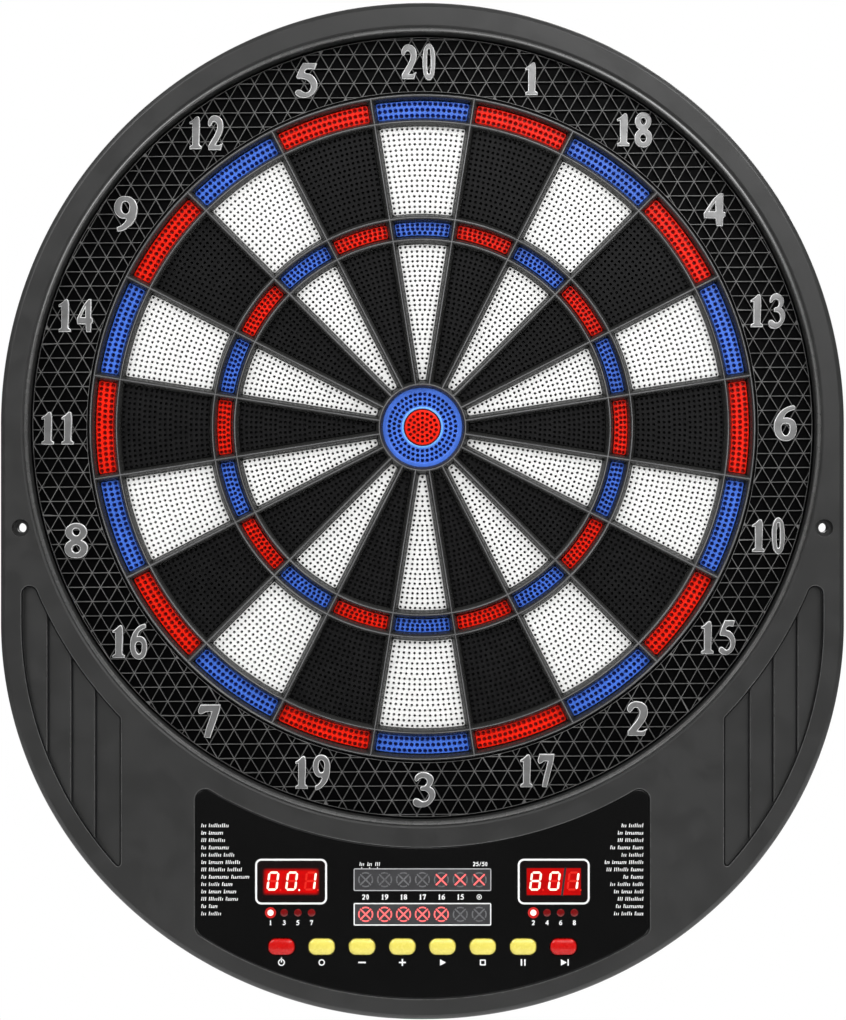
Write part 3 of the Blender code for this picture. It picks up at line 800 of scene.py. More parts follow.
def rib_cells():
    """Outlines of the triangles between the ribs, cut off at both edges of the ring."""
    side = RIB_PITCH / math.sin(math.radians(60))
    reach = int(RING_RADII[1] / RIB_PITCH) + 2
    cells = []
    for row in range(-reach, reach):
        for column in range(-2 * reach, 2 * reach):
            base = Vector((side * (column + row / 2), row * RIB_PITCH))
            right, up = Vector((side, 0.0)), Vector((side / 2, RIB_PITCH))
            for points in ([base, base + right, base + up], [base + right, base + right + up, base + up]):
                middle = sum(points, Vector((0.0, 0.0))) / 3
                if not RING_RADII[0] - side < middle.length < RING_RADII[1] + side:
                    continue
                away = middle.normalized()
                cell = clipped(points, away, RING_RADII[1] - 0.9)
                cell = clipped(cell, -away, -RING_RADII[0] - 0.6)
                if len(cell) > 2:
                    cells.append(turn_points(cell, RING_TURN))
    return cells


def shortest_side(points):
    return min((point - points[i - 1]).length for i, point in enumerate(points))


def merged(points, least=0.7):
    """Drops the corners of an outline that lie closer than least to the one before."""
    kept = []
    for point in points:
        if not kept or (point - kept[-1]).length > least:
            kept.append(point)
    if len(kept) > 3 and (kept[0] - kept[-1]).length < least:
        kept.pop()
    return kept


def add_catch_ring():
    shell = Shell()
    inner, outer = RING_RADII
    floor = RIB_FRONT + 2.1
    profile = [
        (outer - 0.35, RIB_FRONT), (outer, RIB_FRONT + 0.35), (outer, -22.6), (outer + 3.0, -22.6),
        (outer + 3.0, -21.0), (204.0, -21.0), (204.0, floor + 0.9), (inner, floor + 0.9),
        (inner, RIB_FRONT + 0.25), (inner + 0.25, RIB_FRONT),
    ]
    rings = shell.turned(profile, 240)
    holes = []
    for cell in rib_cells():
        cell = merged(cell)
        area = abs(signed_area(cell))
        if len(cell) < 3 or area < 2.5 or shortest_side(cell) < 0.7:
            continue
        # Painted highlight: the top of each rib's wall takes the lighter rib look.
        shell.slot = 1
        levels = [(grown(cell, -0.14), RIB_FRONT), (grown(cell, -0.19), RIB_FRONT + 0.2)]
        walls = shell.stack(levels)
        shell.slot = 0
        walls += shell.stack([(grown(cell, -0.5 if area > 6.0 else -0.26), floor)], walls[-1])
        shell.face(walls[-1])
        holes.append(walls[0])
    borders = [shell.ring(circle(radius, 240), RIB_FRONT) for radius in (outer - 0.86, inner + 0.56)]
    shell.fill(rings[0], [borders[0]])
    shell.fill(borders[1], [rings[-1]])
    # Painted highlight: the rib tops take the lighter rib look.
    shell.slot = 1
    shell.fill(borders[0], [borders[1], *holes])
    shell.slot = 0
    shell.finish("catch_ring_grid", "catch rib", "housing", ["catch_ring"], weighted=False)


# Numerals in tenths of their height, as closed outlines of (x, z); a third value, 1, marks a corner.
NUMERALS = {
    "0": [
        [(0, 9.9), (1.3, 9.2), (2.1, 7.3), (2.3, 5), (2.1, 2.7), (1.3, 0.7), (0, 0), (-1.3, 0.7),
         (-2.1, 2.7), (-2.3, 5), (-2.1, 7.3), (-1.3, 9.2)],
        [(0, 8.5), (0.5, 7.3), (0.65, 5.1), (0.5, 2.8), (0, 1.7), (-0.5, 2.8), (-0.65, 5.1), (-0.5, 7.3)],
    ],
    "1": [
        [(0.75, 10), (1.15, 9.6), (1.15, 1.3, 1), (1.85, 0.8, 1), (1.85, 0, 1), (-1.85, 0, 1),
         (-1.85, 0.8, 1), (-1, 1.3, 1), (-1, 7.7, 1), (-1.85, 7.65, 1), (-1.9, 8.25, 1), (-0.6, 9.15),
         (0.2, 9.9)],
    ],
    "2": [
        [(0, 10), (2.2, 9.1), (3, 7.2), (2.6, 5.2), (1.5, 3.4), (0, 1.5, 1), (1.3, 1.4), (2.3, 1.8),
         (2.8, 2.1, 1), (2, 0, 1), (-2.8, 0, 1), (-2.8, 1.3, 1), (-1.5, 3), (-0.1, 4.8), (0.6, 6.5),
         (0.35, 7.7), (-0.5, 8.15), (-1.3, 7.7), (-1.75, 7), (-2.4, 6.8), (-2.95, 7.6), (-2.4, 9.1),
         (-1.3, 9.85)],
    ],
    "3": [
        [(0, 9.9), (1.7, 9.3), (2.65, 8.1), (2.45, 6.8), (1.75, 5.8, 1), (2.8, 4.9), (3.15, 3.4),
         (2.4, 1.7), (0.9, 0.4), (-1, 0), (-2.6, 0.45), (-3.15, 1.4), (-2.75, 2.3), (-1.85, 2.45),
         (-1.1, 2.1), (-0.3, 1.7), (0.6, 1.9), (1.3, 2.8), (1.2, 3.8), (0.3, 4.6), (-0.9, 4.7, 1),
         (-1.05, 5.5), (-0.7, 5.9, 1), (0.3, 6.2), (0.8, 7.1), (0.5, 7.9), (-0.3, 8.2), (-1.2, 7.95),
         (-1.7, 7.4), (-2.4, 7.3), (-2.6, 8.2), (-1.7, 9.45)],
    ],
    "4": [
        [(1.6, 10, 1), (2.75, 10, 1), (2.7, 4.35, 1), (3.3, 4.3, 1), (3.35, 3.1, 1), (2.7, 2.4, 1),
         (2.55, 0, 1), (0.7, 0, 1), (0.35, 2.35, 1), (-3.05, 2.4, 1), (-3.25, 3.9, 1), (-1.9, 6), (0, 8.6)],
        [(0.3, 7.3, 1), (0.35, 4.5, 1), (-1.5, 4.5, 1), (-0.7, 6)],
    ],
    "5": [
        [(-1, 10, 1), (3, 9.9, 1), (2.3, 8.1, 1), (0, 8.1), (-0.45, 7.35), (1.1, 6.8), (2.6, 5.4),
         (3.1, 3.6), (2.4, 1.6), (0.8, 0.3), (-1, -0.05), (-2.7, 0.5), (-3.3, 1.3), (-2.9, 2.1),
         (-1.9, 2.25), (-1.1, 1.8), (-0.2, 1.45), (0.8, 2.1), (1.2, 3.4), (0.6, 4.6), (-0.8, 5.35),
         (-2.7, 5.5, 1), (-3, 6, 1), (-2.2, 7.9)],
    ],
    "6": [
        [(2.3, 10, 1), (2.8, 9.5), (2.6, 8.75, 1), (1.4, 8.35), (0.1, 7.5), (-0.4, 6.5, 1), (0.9, 6.5),
         (2.4, 5.7), (3.15, 3.8), (2.7, 1.4), (1.3, 0.15), (-0.2, 0), (-1.8, 0.6), (-2.9, 2.1), (-3.2, 4.4),
         (-2.55, 6.6), (-1.1, 8.5), (0.8, 9.65)],
        [(0.1, 4.9), (1, 4.6), (1.2, 3.3), (0.8, 1.95), (0.1, 1.55), (-0.7, 2.15), (-1.15, 3.5),
         (-0.85, 4.6)],
    ],
    "7": [
        [(-2.7, 10, 1), (3.25, 10, 1), (3.05, 8.7), (1.8, 4.75), (0.15, 0.1, 1), (-1.65, 0.3, 1),
         (-1.4, 1.7), (-0.1, 5.7), (0.6, 7.85, 1), (-0.9, 7.85), (-1.9, 7.35), (-2.85, 7.2), (-3.35, 7.8),
         (-3.15, 9)],
    ],
    "8": [
        [(0, 9.95), (1.85, 9.45), (3.0, 8), (2.8, 6.4), (1.6, 5.1, 1), (2.95, 4.1), (3.3, 2.5), (2.35, 0.7),
         (0, 0), (-2.35, 0.7), (-3.3, 2.4), (-2.95, 4), (-1.65, 5.1, 1), (-2.85, 6.3), (-3.05, 8),
         (-1.85, 9.45)],
        [(0.05, 8.4), (0.95, 7.85), (0.95, 7.1), (0.1, 6.4), (-0.85, 7.05), (-0.9, 7.95)],
        [(0, 3.7), (0.9, 3.2), (1.05, 2.35), (0, 1.55), (-1, 2.2), (-0.95, 3.2)],
    ],
    "9": [
        [(0, 9.95), (2, 9.35), (3.15, 7.6), (3.25, 5.7), (2.6, 3.3), (0.9, 1.3), (-1.2, 0.15), (-2.3, 0, 1),
         (-2.5, 1.2, 1), (-1.2, 1.8), (-0.1, 2.9), (0.1, 3.5), (-1.2, 3.7), (-2.6, 4.8), (-3.25, 6.65),
         (-2.65, 8.7), (-1.4, 9.75)],
        [(0, 8.45), (0.9, 7.8), (1, 6.4), (0.5, 5.15), (-0.2, 5.05), (-0.95, 5.7), (-1.1, 7.1),
         (-0.75, 8.1)],
    ],
}
NUMERAL_HEIGHTS = (19.6, 17.2, 18.2, 18.8, 17.3, 18.3, 18.8, 17.8, 18.6, 18.8)
PAIR_SPACING = 10.5
PAIR_WIDTH = 0.74


def numeral_mesh(digit, height, width_factor, depth, bevel):
    """One raised numeral about its own middle, its back at Y = 0 and its top at Y = -depth."""
    curve = bpy.data.curves.new("numeral", "CURVE")
    curve.dimensions = "2D"
    curve.fill_mode = "BOTH"
    curve.resolution_u = 5
    curve.bevel_depth = bevel
    curve.bevel_resolution = 3
    curve.extrude = depth / 2 - bevel
    curve.offset = -bevel
    scale = height / 10
    for outline_points in NUMERALS[digit]:
        spline = curve.splines.new("BEZIER")
        spline.bezier_points.add(len(outline_points) - 1)
        spline.use_cyclic_u = True
        for knot, (x, z, *corner) in zip(spline.bezier_points, outline_points):
            knot.co = (x * scale * width_factor, (z - 5) * scale, 0.0)
            kind = "VECTOR" if corner else "AUTO"
            knot.handle_left_type = kind
            knot.handle_right_type = kind
    item = new_object("numeral", curve)
    mesh = evaluated_mesh(item)
    bpy.data.objects.remove(item, do_unlink=True)
    mesh.transform(Matrix.Translation((0.0, -depth / 2, 0.0)) @ Matrix.Rotation(math.pi / 2, 4, "X"))
    return mesh


def add_numbers():
    shell = Shell()
    depth, base = 2.7, RIB_FRONT + 2.0
    for index, number in enumerate(NUMBERS):
        digits = str(number)
        middle = polar(WEDGE * index + RING_TURN, NUMBER_RADIUS) + Vector(NUMBER_CENTRE)
        for place, digit in enumerate(digits):
            pair = len(digits) == 2
            factor = PAIR_WIDTH if pair and digit != "1" else 1.0
            shift = (place - 0.5) * PAIR_SPACING if pair else 0.0
            mesh = numeral_mesh(digit, NUMERAL_HEIGHTS[int(digit)], factor, depth, 0.55)
            mesh.transform(Matrix.Translation((middle.x + shift, base, middle.y)))
            # Painted highlight: faces that don't face forward, the bevels, take the bright edge look.
            for polygon in mesh.polygons:
                polygon.material_index = int(abs(polygon.normal.y) < 0.97)
            shell.bm.from_mesh(mesh)
            bpy.data.meshes.remove(mesh)
    bmesh.ops.remove_doubles(shell.bm, verts=shell.bm.verts, dist=0.004)
    shell.finish("numbers", "silver silver_edge", "housing", sharp=40.0)


# ---------------------------------------------------------------- target

CELL_STEPS = (6, 8, 12, 14)
WALL_PROFILE = ((0.22, 0.0), (0.5, 0.22), (0.85, 0.6), (1.45, 1.9), (2.05, 3.4))


def add_spider():
    """The web between the segments: narrow crests with walls that slope down to the faces."""
    shell = Shell()
    last = CREST_RADII[-1]
    outside = [
        (last + 0.22, CREST), (last + 0.5, CREST + 0.2), (last + 0.9, CREST + 0.9),
        (last + 0.9, SPIDER_BACK),
        (last + 1.7, SPIDER_BACK), (last + 1.7, SKIRT), (173.9, SKIRT), (173.9, SPIDER_BACK),
    ]
    rings = shell.turned(outside, 280)
    first = CREST_RADII[0]
    bull = [(first - inset, CREST + drop) for inset, drop in WALL_PROFILE] + [(first - 2.05, SPIDER_BACK)]
    hole = shell.turned(bull, 120)
    fronts, backs = [hole[0]], [hole[-1]]
    for index in range(len(NUMBERS)):
        for low, high, steps in zip(CREST_RADII, CREST_RADII[1:], CELL_STEPS):
            levels = []
            for inset, drop in (*WALL_PROFILE, (2.05, SPIDER_BACK - CREST)):
                points = sector((low + inset, high - inset), inset, steps)
                levels.append((turn_points(points, WEDGE * index), CREST + drop))
            cell = shell.stack(levels)
            fronts.append(cell[0])
            backs.append(cell[-1])
    shell.fill(rings[-1], backs)
    # Painted highlight: the crest faces take the lighter crest look.
    shell.slot = 1
    shell.fill(rings[0], fronts)
    shell.finish("spider_web", "spider crest", "housing", ["spider"], weighted=False)


def rows_between(low, high, pitch, margin):
    """Evenly spaced radii about pitch apart, the outermost ones margin inside a face's ends."""
    room = high - low - 2 * margin
    count = max(int(room / pitch + 0.5), 1)
    return [low + margin + room * i / count for i in range(count + 1)]


def hole_centres(radii, pitch, row_pitch, margin):
    """Centres of the holes of a face: rows of constant radius, each row evenly filled."""
    centres = []
    for radius in rows_between(*radii, row_pitch, margin):
        half = WEDGE / 2 - math.degrees(math.asin((BLOCK_INSET + margin) / radius))
        width = math.radians(2 * half) * radius
        if width < 0:
            continue
        count = int(width / pitch + 0.35)
        for i in range(count + 1):
            share = 2 * i / count - 1 if count else 0.0
            centres.append(polar(half * share, radius))
    return centres


HOLE_SIDES = 8
HOLE_DEPTH = 2.6

# Each face of a wedge's two pieces: its place in FACE_RADII, the steps of its arcs, and the pitch of its
# holes, the pitch of their rows, their margin and their radius
FACES = {
    "singles": ((0, 8, 2.6, 2.6, 1.15, 0.74), (2, 14, 2.72, 2.72, 1.15, 0.74)),
    "doubles": ((1, 10, 2.66, 2.45, 1.36, 0.98), (3, 16, 2.72, 3.1, 1.5, 1.12)),
}
COLOURS = {"singles": ("white", "black"), "doubles": ("blue", "red")}


def pierce(shell, centre, radius, front):
    """A tapered dart hole whose floor has the second look, a flat colour painted in place of the hole's
    shaded inside; returns its ring in the face.
    """
    phase = 360.0 / HOLE_SIDES / 2
    levels = ((radius + 0.08, 0.0), (radius, 0.16), (radius * 0.84, HOLE_DEPTH))
    rings = shell.stack([(circle(r, HOLE_SIDES, centre, phase), front + depth) for r, depth in levels])
    shell.slot = 1
    shell.face(rings[-1])
    shell.slot = 0
    return rings[0]


def wedge_faces(kind):
    """Blocks with rounded edges and rows of holes, and the hidden flange that ties a wedge together."""
    shell = Shell()
    for place, steps, pitch, row_pitch, margin, radius in FACES[kind]:
        base = sector(FACE_RADII[place], BLOCK_INSET, steps, 0.9)
        levels = [(base, FLANGE_FRONT + GAP), (base, SEGMENT_FRONT + 0.35)]
        levels += [(grown(base, -0.08), SEGMENT_FRONT + 0.1), (grown(base, -0.26), SEGMENT_FRONT)]
        rings = shell.stack(levels)
        shell.fill(rings[0])
        centres = hole_centres(FACE_RADII[place], pitch, row_pitch, margin)
        shell.fill(rings[-1], [pierce(shell, centre, radius, SEGMENT_FRONT) for centre in centres])
    if kind == "singles":
        flange = sector((24.3, 173.2), GAP, 14)
        shell.closed(shell.stack([(flange, FLANGE_BACK), (flange, FLANGE_FRONT)]))
    return shell.mesh(kind)


def add_segments():
    """Two pieces to a wedge, because its flanged plate carries faces in two colours."""
    for kind, colours in COLOURS.items():
        shape = wedge_faces(kind)
        for index, number in enumerate(NUMBERS):
            colour = colours[index % 2]
            body = f"segments_{number:02d}"
            mesh = shape.copy()
            mesh.transform(Matrix.Rotation(math.radians(WEDGE * index), 4, "Y"))
            nodes = [body] if kind == "singles" else []
            # The second look is the hole floors' painted shade.
            looks = f"{colour} {colour}_pit"
            add_piece(f"{kind}_{number:02d}", mesh, looks, body, nodes)


def add_outer_bull():
    shell = Shell()
    front, outer = SEGMENT_FRONT - 0.5, OUTER_BULL_RADIUS
    profile = [
        (18.75, front + 0.22), (18.95, front + 0.05), (19.2, front), (outer - 0.5, front),
        (outer - 0.15, front + 0.15), (outer, front + 0.5), (outer, FLANGE_FRONT),
        (outer + 3.0, FLANGE_FRONT), (outer + 3.0, FLANGE_BACK),
        (11.9, FLANGE_BACK), (11.9, -19.3), (9.9, -19.3), (9.9, front + 0.15), (10.1, front),
        (10.6, front), (10.85, front + 0.08), (11.0, front + 0.22),
    ]
    rings = shell.turned(profile[:12], 96)
    # Painted highlight: the inner lip takes the lighter lip look.
    shell.slot = 2
    rings += shell.turned(profile[12:], 96, start=rings[-1])
    shell.slot = 0
    holes = []
    for radius, count in ((12.45, 31), (15.0, 37), (17.55, 43)):
        for i in range(count):
            centre = polar(360.0 * (i + 0.5) / count, radius)
            holes.append(pierce(shell, centre, 0.98, front + 0.22))
    shell.fill(rings[0], [rings[-1], *holes])
    shell.finish("outer_bull_ring", "blue blue_pit lip", "outer_bull", ["outer_bull"])


def add_inner_bull():
    shell = Shell()
    front, radius = SEGMENT_FRONT, INNER_BULL_RADIUS
    profile = [
        (radius - 0.5, front), (radius - 0.15, front + 0.15), (radius, front + 0.5), (radius, FLANGE_FRONT),
        (11.5, FLANGE_FRONT), (11.5, FLANGE_BACK),
    ]
    rings = shell.turned(profile, 72)
    holes = [pierce(shell, Vector((0.0, 0.0)), 0.85, front)]
    for ring in range(1, 4):
        for i in range(6 * ring):
            centre = polar(60.0 * i / ring, 2.45 * ring)
            holes.append(pierce(shell, centre, 0.92, front))
    shell.fill(rings[0], holes)
    shell.fill(rings[-1])
    shell.finish("inner_bull_disc", "red red_pit", "inner_bull", ["inner_bull"])


# ---------------------------------------------------------------- control panel

# Height of the print over the lens, the pitch of printed numerals and the steps between their knots
PRINT = 0.06
PRINT_SPACING = 0.72
KNOT_STEPS = 3


def add_lens():
    shell = Shell()
    edge = panel_outline(GAP)
    back = FACE_FRONT + PANEL_DEPTH - GAP
    levels = [(edge, back), (edge, FACE_FRONT + 0.3)]
    levels += [(grown(edge, -0.08), FACE_FRONT + 0.1), (grown(edge, -0.3), FACE_FRONT)]
    rings = shell.stack(levels)
    fronts, backs = [], []
    for centre in BUTTON_CENTRES:
        hole = stadium(0.35, centre)
        opening = shell.stack([(grown(hole, 0.2), FACE_FRONT), (hole, FACE_FRONT + 0.2), (hole, back)])
        fronts.append(opening[0])
        backs.append(opening[-1])
    shell.fill(rings[-1], fronts)
    shell.fill(rings[0], backs)
    shell.finish("panel_lens", "lens", "housing", ["control_lens"])


def print_area(shell, points, holes=()):
    """A printed patch: a very thin plate that lies in the lens's front face."""
    levels = (FACE_FRONT + PRINT, FACE_FRONT - PRINT)
    walls = [shell.stack([(loop, y) for y in levels]) for loop in (points, *holes)]
    for outer, *inner in zip(*walls):
        shell.fill(outer, inner)


def frame_line(shell, width, height, radius, line, centre):
    """A printed frame whose outside has the given size."""
    outer = rounded_rectangle(width, height, radius, centre)
    print_area(shell, outer, [grown(outer, -line)])


def numeral_print(shell, text, height, centre):
    """Small printed numbers, drawn with the numerals of the target."""
    for place, digit in enumerate(text):
        shift = (place - (len(text) - 1) / 2) * height * PRINT_SPACING
        middle = (centre[0] + shift, centre[1])
        loops = [smooth_outline(points, height / 10, middle) for points in NUMERALS[digit]]
        print_area(shell, loops[0], loops[1:])


def smooth_outline(knots, scale, centre):
    """A numeral's outline as points, with a Catmull-Rom curve between knots that aren't corners."""
    places = [Vector((x, z - 5)) * scale + Vector(centre) for x, z, *_ in knots]
    result = []
    count = len(places)
    for i in range(count):
        a, b, c, d = (places[(i + k) % count] for k in (-1, 0, 1, 2))
        start = Vector((0.0, 0.0)) if len(knots[i]) > 2 else (c - a) / 2
        end = Vector((0.0, 0.0)) if len(knots[(i + 1) % count]) > 2 else (d - b) / 2
        for k in range(KNOT_STEPS):
            t = k / KNOT_STEPS
            curve = b * (2 * t**3 - 3 * t**2 + 1) + start * (t**3 - 2 * t**2 + t)
            result.append(curve + c * (3 * t**2 - 2 * t**3) + end * (t**3 - t**2))
    return result


SCORE_CENTRES = [node_centre("left_score_display"), node_centre("right_score_display")]
MARK_CENTRES = [node_centre("upper_mark_display"), node_centre("lower_mark_display")]
LAMP_CENTRES = [node_centre("left_lamp_guide"), node_centre("right_lamp_guide")]
MARK_PITCH = 9.9
LAMP_PITCH = 7.15
SEGMENTS_OF = {"0": "abcdef", "1": "bc", "8": "abcdefg"}
DIGIT_SLANT = math.tan(math.radians(7))


def bar(start, end, thickness):
    """A printed stroke with square ends between two points."""
    along = (end - start).normalized()
    side = Vector((-along.y, along.x)) * thickness / 2
    return [start - side, end - side, end + side, start + side]


def digit_bars(centre):
    """The seven bars of a slanted display digit, by their usual letters."""
    w, h, t, gap = 4.7 / 2, 8.9 / 2, 1.1 / 2, 0.18
    ends = {
        "a": ((-w, h), (w, h)), "b": ((w, h), (w, 0)), "c": ((w, 0), (w, -h)), "d": ((-w, -h), (w, -h)),
        "e": ((-w, -h), (-w, 0)), "f": ((-w, 0), (-w, h)), "g": ((-w, 0), (w, 0)),
    }
    bars = {}
    for letter, (start, end) in ends.items():
        start, end = Vector(start), Vector(end)
        along = (end - start).normalized()
        side = Vector((-along.y, along.x)) * t
        a, b = start + along * gap, end - along * gap
        shape = [a, a + along * t - side, b - along * t - side, b, b - along * t + side, a + along * t + side]
        bars[letter] = [Vector(centre) + Vector((p.x + p.y * DIGIT_SLANT, p.y)) for p in shape]
    return bars


def raised(shell, points, height):
    """A thin raised patch, level with the print or a little above it."""
    shell.closed(shell.stack([(points, FACE_FRONT - PRINT / 2), (points, FACE_FRONT - height)]))


def add_score_window(name, side, text):
    centre = SCORE_CENTRES[side]
    soft = 1.3 if side == 0 else 0.35
    half = (13.9, 6.2) if side == 0 else (14.1, 7.0)
    colour = (0.56, 0.0, 0.0) if side == 0 else (0.47, 0.0, 0.0)
    LOOKS[f"{name}_glow"] = window_glow(f"{name}_glow", centre, half, soft, colour)
    shell = Shell()
    print_area(shell, rounded_rectangle(35.0, 21.3, 2.3, centre))
    for place, digit in enumerate(text):
        middle = centre + Vector(((place - 1) * 9.8 + 0.3, 0.3))
        for letter, points in digit_bars(middle).items():
            lit = letter in SEGMENTS_OF[digit]
            shell.slot = 1 if lit else 2
            raised(shell, points, PRINT + (0.05 if lit else 0.02))
        shell.slot = 1 if side == 0 and place == 1 else 2
        raised(shell, circle(0.5, 12, middle + Vector((3.9, -4.7))), PRINT + 0.02)
    if side == 1:
        shell.slot = 3
        low, high = Vector((4.3, -7.4)), Vector((4.3 + 14.8 * DIGIT_SLANT, 7.4))
        raised(shell, bar(centre + low, centre + high, 1.1), PRINT + 0.03)
    looks = f"{name}_glow digit_lit digit_dim jack"
    node = ("left_score_display", "right_score_display")[side]
    shell.finish(name, looks, "housing", [node], weighted=False)


def mark_shapes(centre):
    """One X-in-O symbol: two crossed bars and four arcs between their arms."""
    reach, thickness = 4.0, 0.8
    cross = []
    for turn in (45.0, -45.0):
        cross.append(bar(centre - polar(turn, reach), centre + polar(turn, reach), thickness))
    arcs = []
    for middle in (0.0, 90.0, 180.0, 270.0):
        turns = [middle - 30.0 + 60.0 * i / 10 for i in range(11)]
        outside = [centre + polar(t, 3.95) for t in turns]
        inside = [centre + polar(t, 3.25) for t in reversed(turns)]
        arcs.append(outside + inside)
    return cross, arcs


def add_mark_window(name, row, lit_cross, lit_arcs):
    centre = MARK_CENTRES[row]
    shell = Shell()
    print_area(shell, rounded_rectangle(70.8, 10.6, 0.4, centre))
    for place in range(7):
        cross, arcs = mark_shapes(centre + Vector(((place - 3) * MARK_PITCH, 0.0)))
        shell.slot = 2 if place in lit_cross else 1
        for lift, points in enumerate(cross):
            raised(shell, points, PRINT + 0.03 + 0.015 * lift)
        shell.slot = 2 if place in lit_arcs else 1
        for points in arcs:
            raised(shell, points, PRINT + 0.03)
    node = ("upper_mark_display", "lower_mark_display")[row]
    shell.finish(name, "mark_face mark_dim mark_lit", "housing", [node], weighted=False)


def lamp_places(side):
    return [LAMP_CENTRES[side] + Vector(((i - 1.5) * LAMP_PITCH, 0.0)) for i in range(4)]


def add_lamps(name, side):
    """Four round player lamps; the first one is lit."""
    shell = Shell()
    for i, centre in enumerate(lamp_places(side)):
        lit = i == 0
        shell.slot = 1 if lit else 0
        wide = 1.6 if lit else 2.0
        dome = [(wide, PRINT / 2), (wide, PRINT)]
        dome += [(wide * share, rise) for share, rise in ((0.85, 0.14), (0.55, 0.19), (0.25, 0.21))]
        shell.closed(shell.turned([(radius, FACE_FRONT - rise) for radius, rise in dome], 24, centre))
        if lit:
            # Painted glow: a glowing disc round the lit lamp stands for its light on the lens.
            shell.slot = 2
            raised(shell, circle(2.9, 28, centre), PRINT)
    node = ("left_lamp_guide", "right_lamp_guide")[side]
    shell.finish(name, "lamp_dark lamp_lit lamp_halo", "housing", [node])


def add_prints():
    """Frames, numbers, greeked lines and key symbols printed on the lens."""
    shell = Shell()
    for centre in SCORE_CENTRES:
        frame_line(shell, 37.6, 23.9, 3.3, 1.0, centre)
    frame_line(shell, 72.0, 11.8, 0.8, 0.6, MARK_CENTRES[1])
    middle_z = (MARK_CENTRES[0].y + MARK_CENTRES[1].y) / 2
    for place, text in enumerate(("20", "19", "18", "17", "16", "15")):
        numeral_print(shell, text, 2.8, (MARK_CENTRES[0].x + (place - 3) * MARK_PITCH, middle_z))
    bull = (MARK_CENTRES[0].x + 3 * MARK_PITCH, middle_z)
    print_area(shell, circle(1.35, 24, bull), [circle(1.0, 24, bull)])
    print_area(shell, circle(0.5, 16, bull))
    for side in (0, 1):
        for i, centre in enumerate(lamp_places(side)):
            label = (centre.x, centre.y - 5.2)
            numeral_print(shell, str(2 * i + 1 + side), 2.6, label)
    add_key_symbols(shell)
    add_small_ticks(shell)
    add_greeked_lines(shell)
    shell.slot = 1
    frame_line(shell, 72.0, 11.8, 0.8, 0.5, MARK_CENTRES[0])
    shell.finish("panel_print", "print dim_print", "housing", weighted=False)


def add_small_ticks(shell):
    """A small two-figure note and three ticks over the upper row of marks."""
    z = MARK_CENTRES[0].y + 8.2
    right = MARK_CENTRES[0].x + 3 * MARK_PITCH
    numeral_print(shell, "25", 2.3, (right - 1.8, z))
    print_area(shell, bar(Vector((right + 0.1, z - 1.1)), Vector((right + 1.0, z + 1.1)), 0.3))
    numeral_print(shell, "50", 2.3, (right + 2.9, z))
    for place in range(3):
        x = MARK_CENTRES[0].x - 3 * MARK_PITCH + 4.1 * (place - 0.5)
        greek_word(shell, Vector((x - 1.3, z)), 3, 0.95, 2.0, place)
        print_area(shell, bar(Vector((x, z - 2.4)), Vector((x, z - 1.6)), 0.4))


def greek_word(shell, start, letters, pitch, height, seed):
    """A word's worth of slanted strokes of uneven height: they spell nothing."""
    lean = Vector((0.14, 1.0))
    for i in range(letters):
        kind = (7 * seed + 5 * i + i * i) % 4
        foot = start + Vector((pitch * (i + 0.3), -height / 2))
        tall = height * (1.0 if i == 0 or kind == 0 else 0.7)
        print_area(shell, bar(foot, foot + lean * tall, pitch * 0.4))
        if kind in (1, 3) and i < letters - 1:
            level = foot + lean * (tall - 0.2 if kind == 1 else 0.2) + Vector((pitch * 0.17, 0.0))
            print_area(shell, bar(level, level + Vector((pitch * 0.42, 0.0)), 0.32))


def add_greeked_lines(shell):
    """Two narrow lists, as strokes that spell nothing: no lettering is drawn."""
    pitch, letter = 3.84, 0.98
    lists = {-1: (15, 12, 13, 15, 18, 21, 22, 26, 17, 19, 20, 9, 11),
             1: (12, 14, 14, 18, 12, 21, 20, 11, 18, 16, 14, 15, 16)}
    for side, lengths in lists.items():
        for row, length in enumerate(lengths):
            z = -208.6 - pitch * row
            left = -115.8 if side < 0 else 115.8 - length * letter
            words = (3, length - 4) if length < 16 else (3, length // 2 - 2, length - length // 2 - 3)
            place = 0
            for count in words:
                greek_word(shell, Vector((left + place * letter, z)), count, letter, 1.9, row + place)
                place += count + 1


def key_symbols():
    """The symbol of every key, about 3 mm wide, as a list of (outline, holes)."""

    def stroke(start, end, thickness):
        return bar(Vector(start), Vector(end), thickness), []

    arrow = ([Vector(corner) for corner in ((-1.0, -1.3), (1.4, 0.0), (-1.0, 1.3))], [])
    square = rounded_rectangle(2.4, 2.4, 0.3, steps=2)
    return [
        [(circle(1.4, 24), [circle(0.95, 24)]), stroke((0.0, 0.0), (0.0, 1.9), 0.5)],
        [(circle(1.3, 20), [circle(0.85, 20)])],
        [stroke((-1.5, 0.0), (1.5, 0.0), 0.6)],
        [(cross_outline((0.0, 0.0), 1.4, 0.3), [])],
        [arrow],
        [(square, [rectangle(1.4, 1.4)])],
        [stroke((x, -1.3), (x, 1.3), 0.6) for x in (-0.7, 0.7)],
        [arrow, stroke((1.9, -1.3), (1.9, 1.3), 0.5)],
    ]


def add_key_symbols(shell):
    """A simple symbol under each key in place of its word."""
    for centre, symbol in zip(BUTTON_CENTRES, key_symbols()):
        low = Vector((centre.x, centre.y - 8.2))
        for points, holes in symbol:
            scaled = [[low + p * 1.3 for p in loop] for loop in (points, *holes)]
            print_area(shell, scaled[0], scaled[1:])


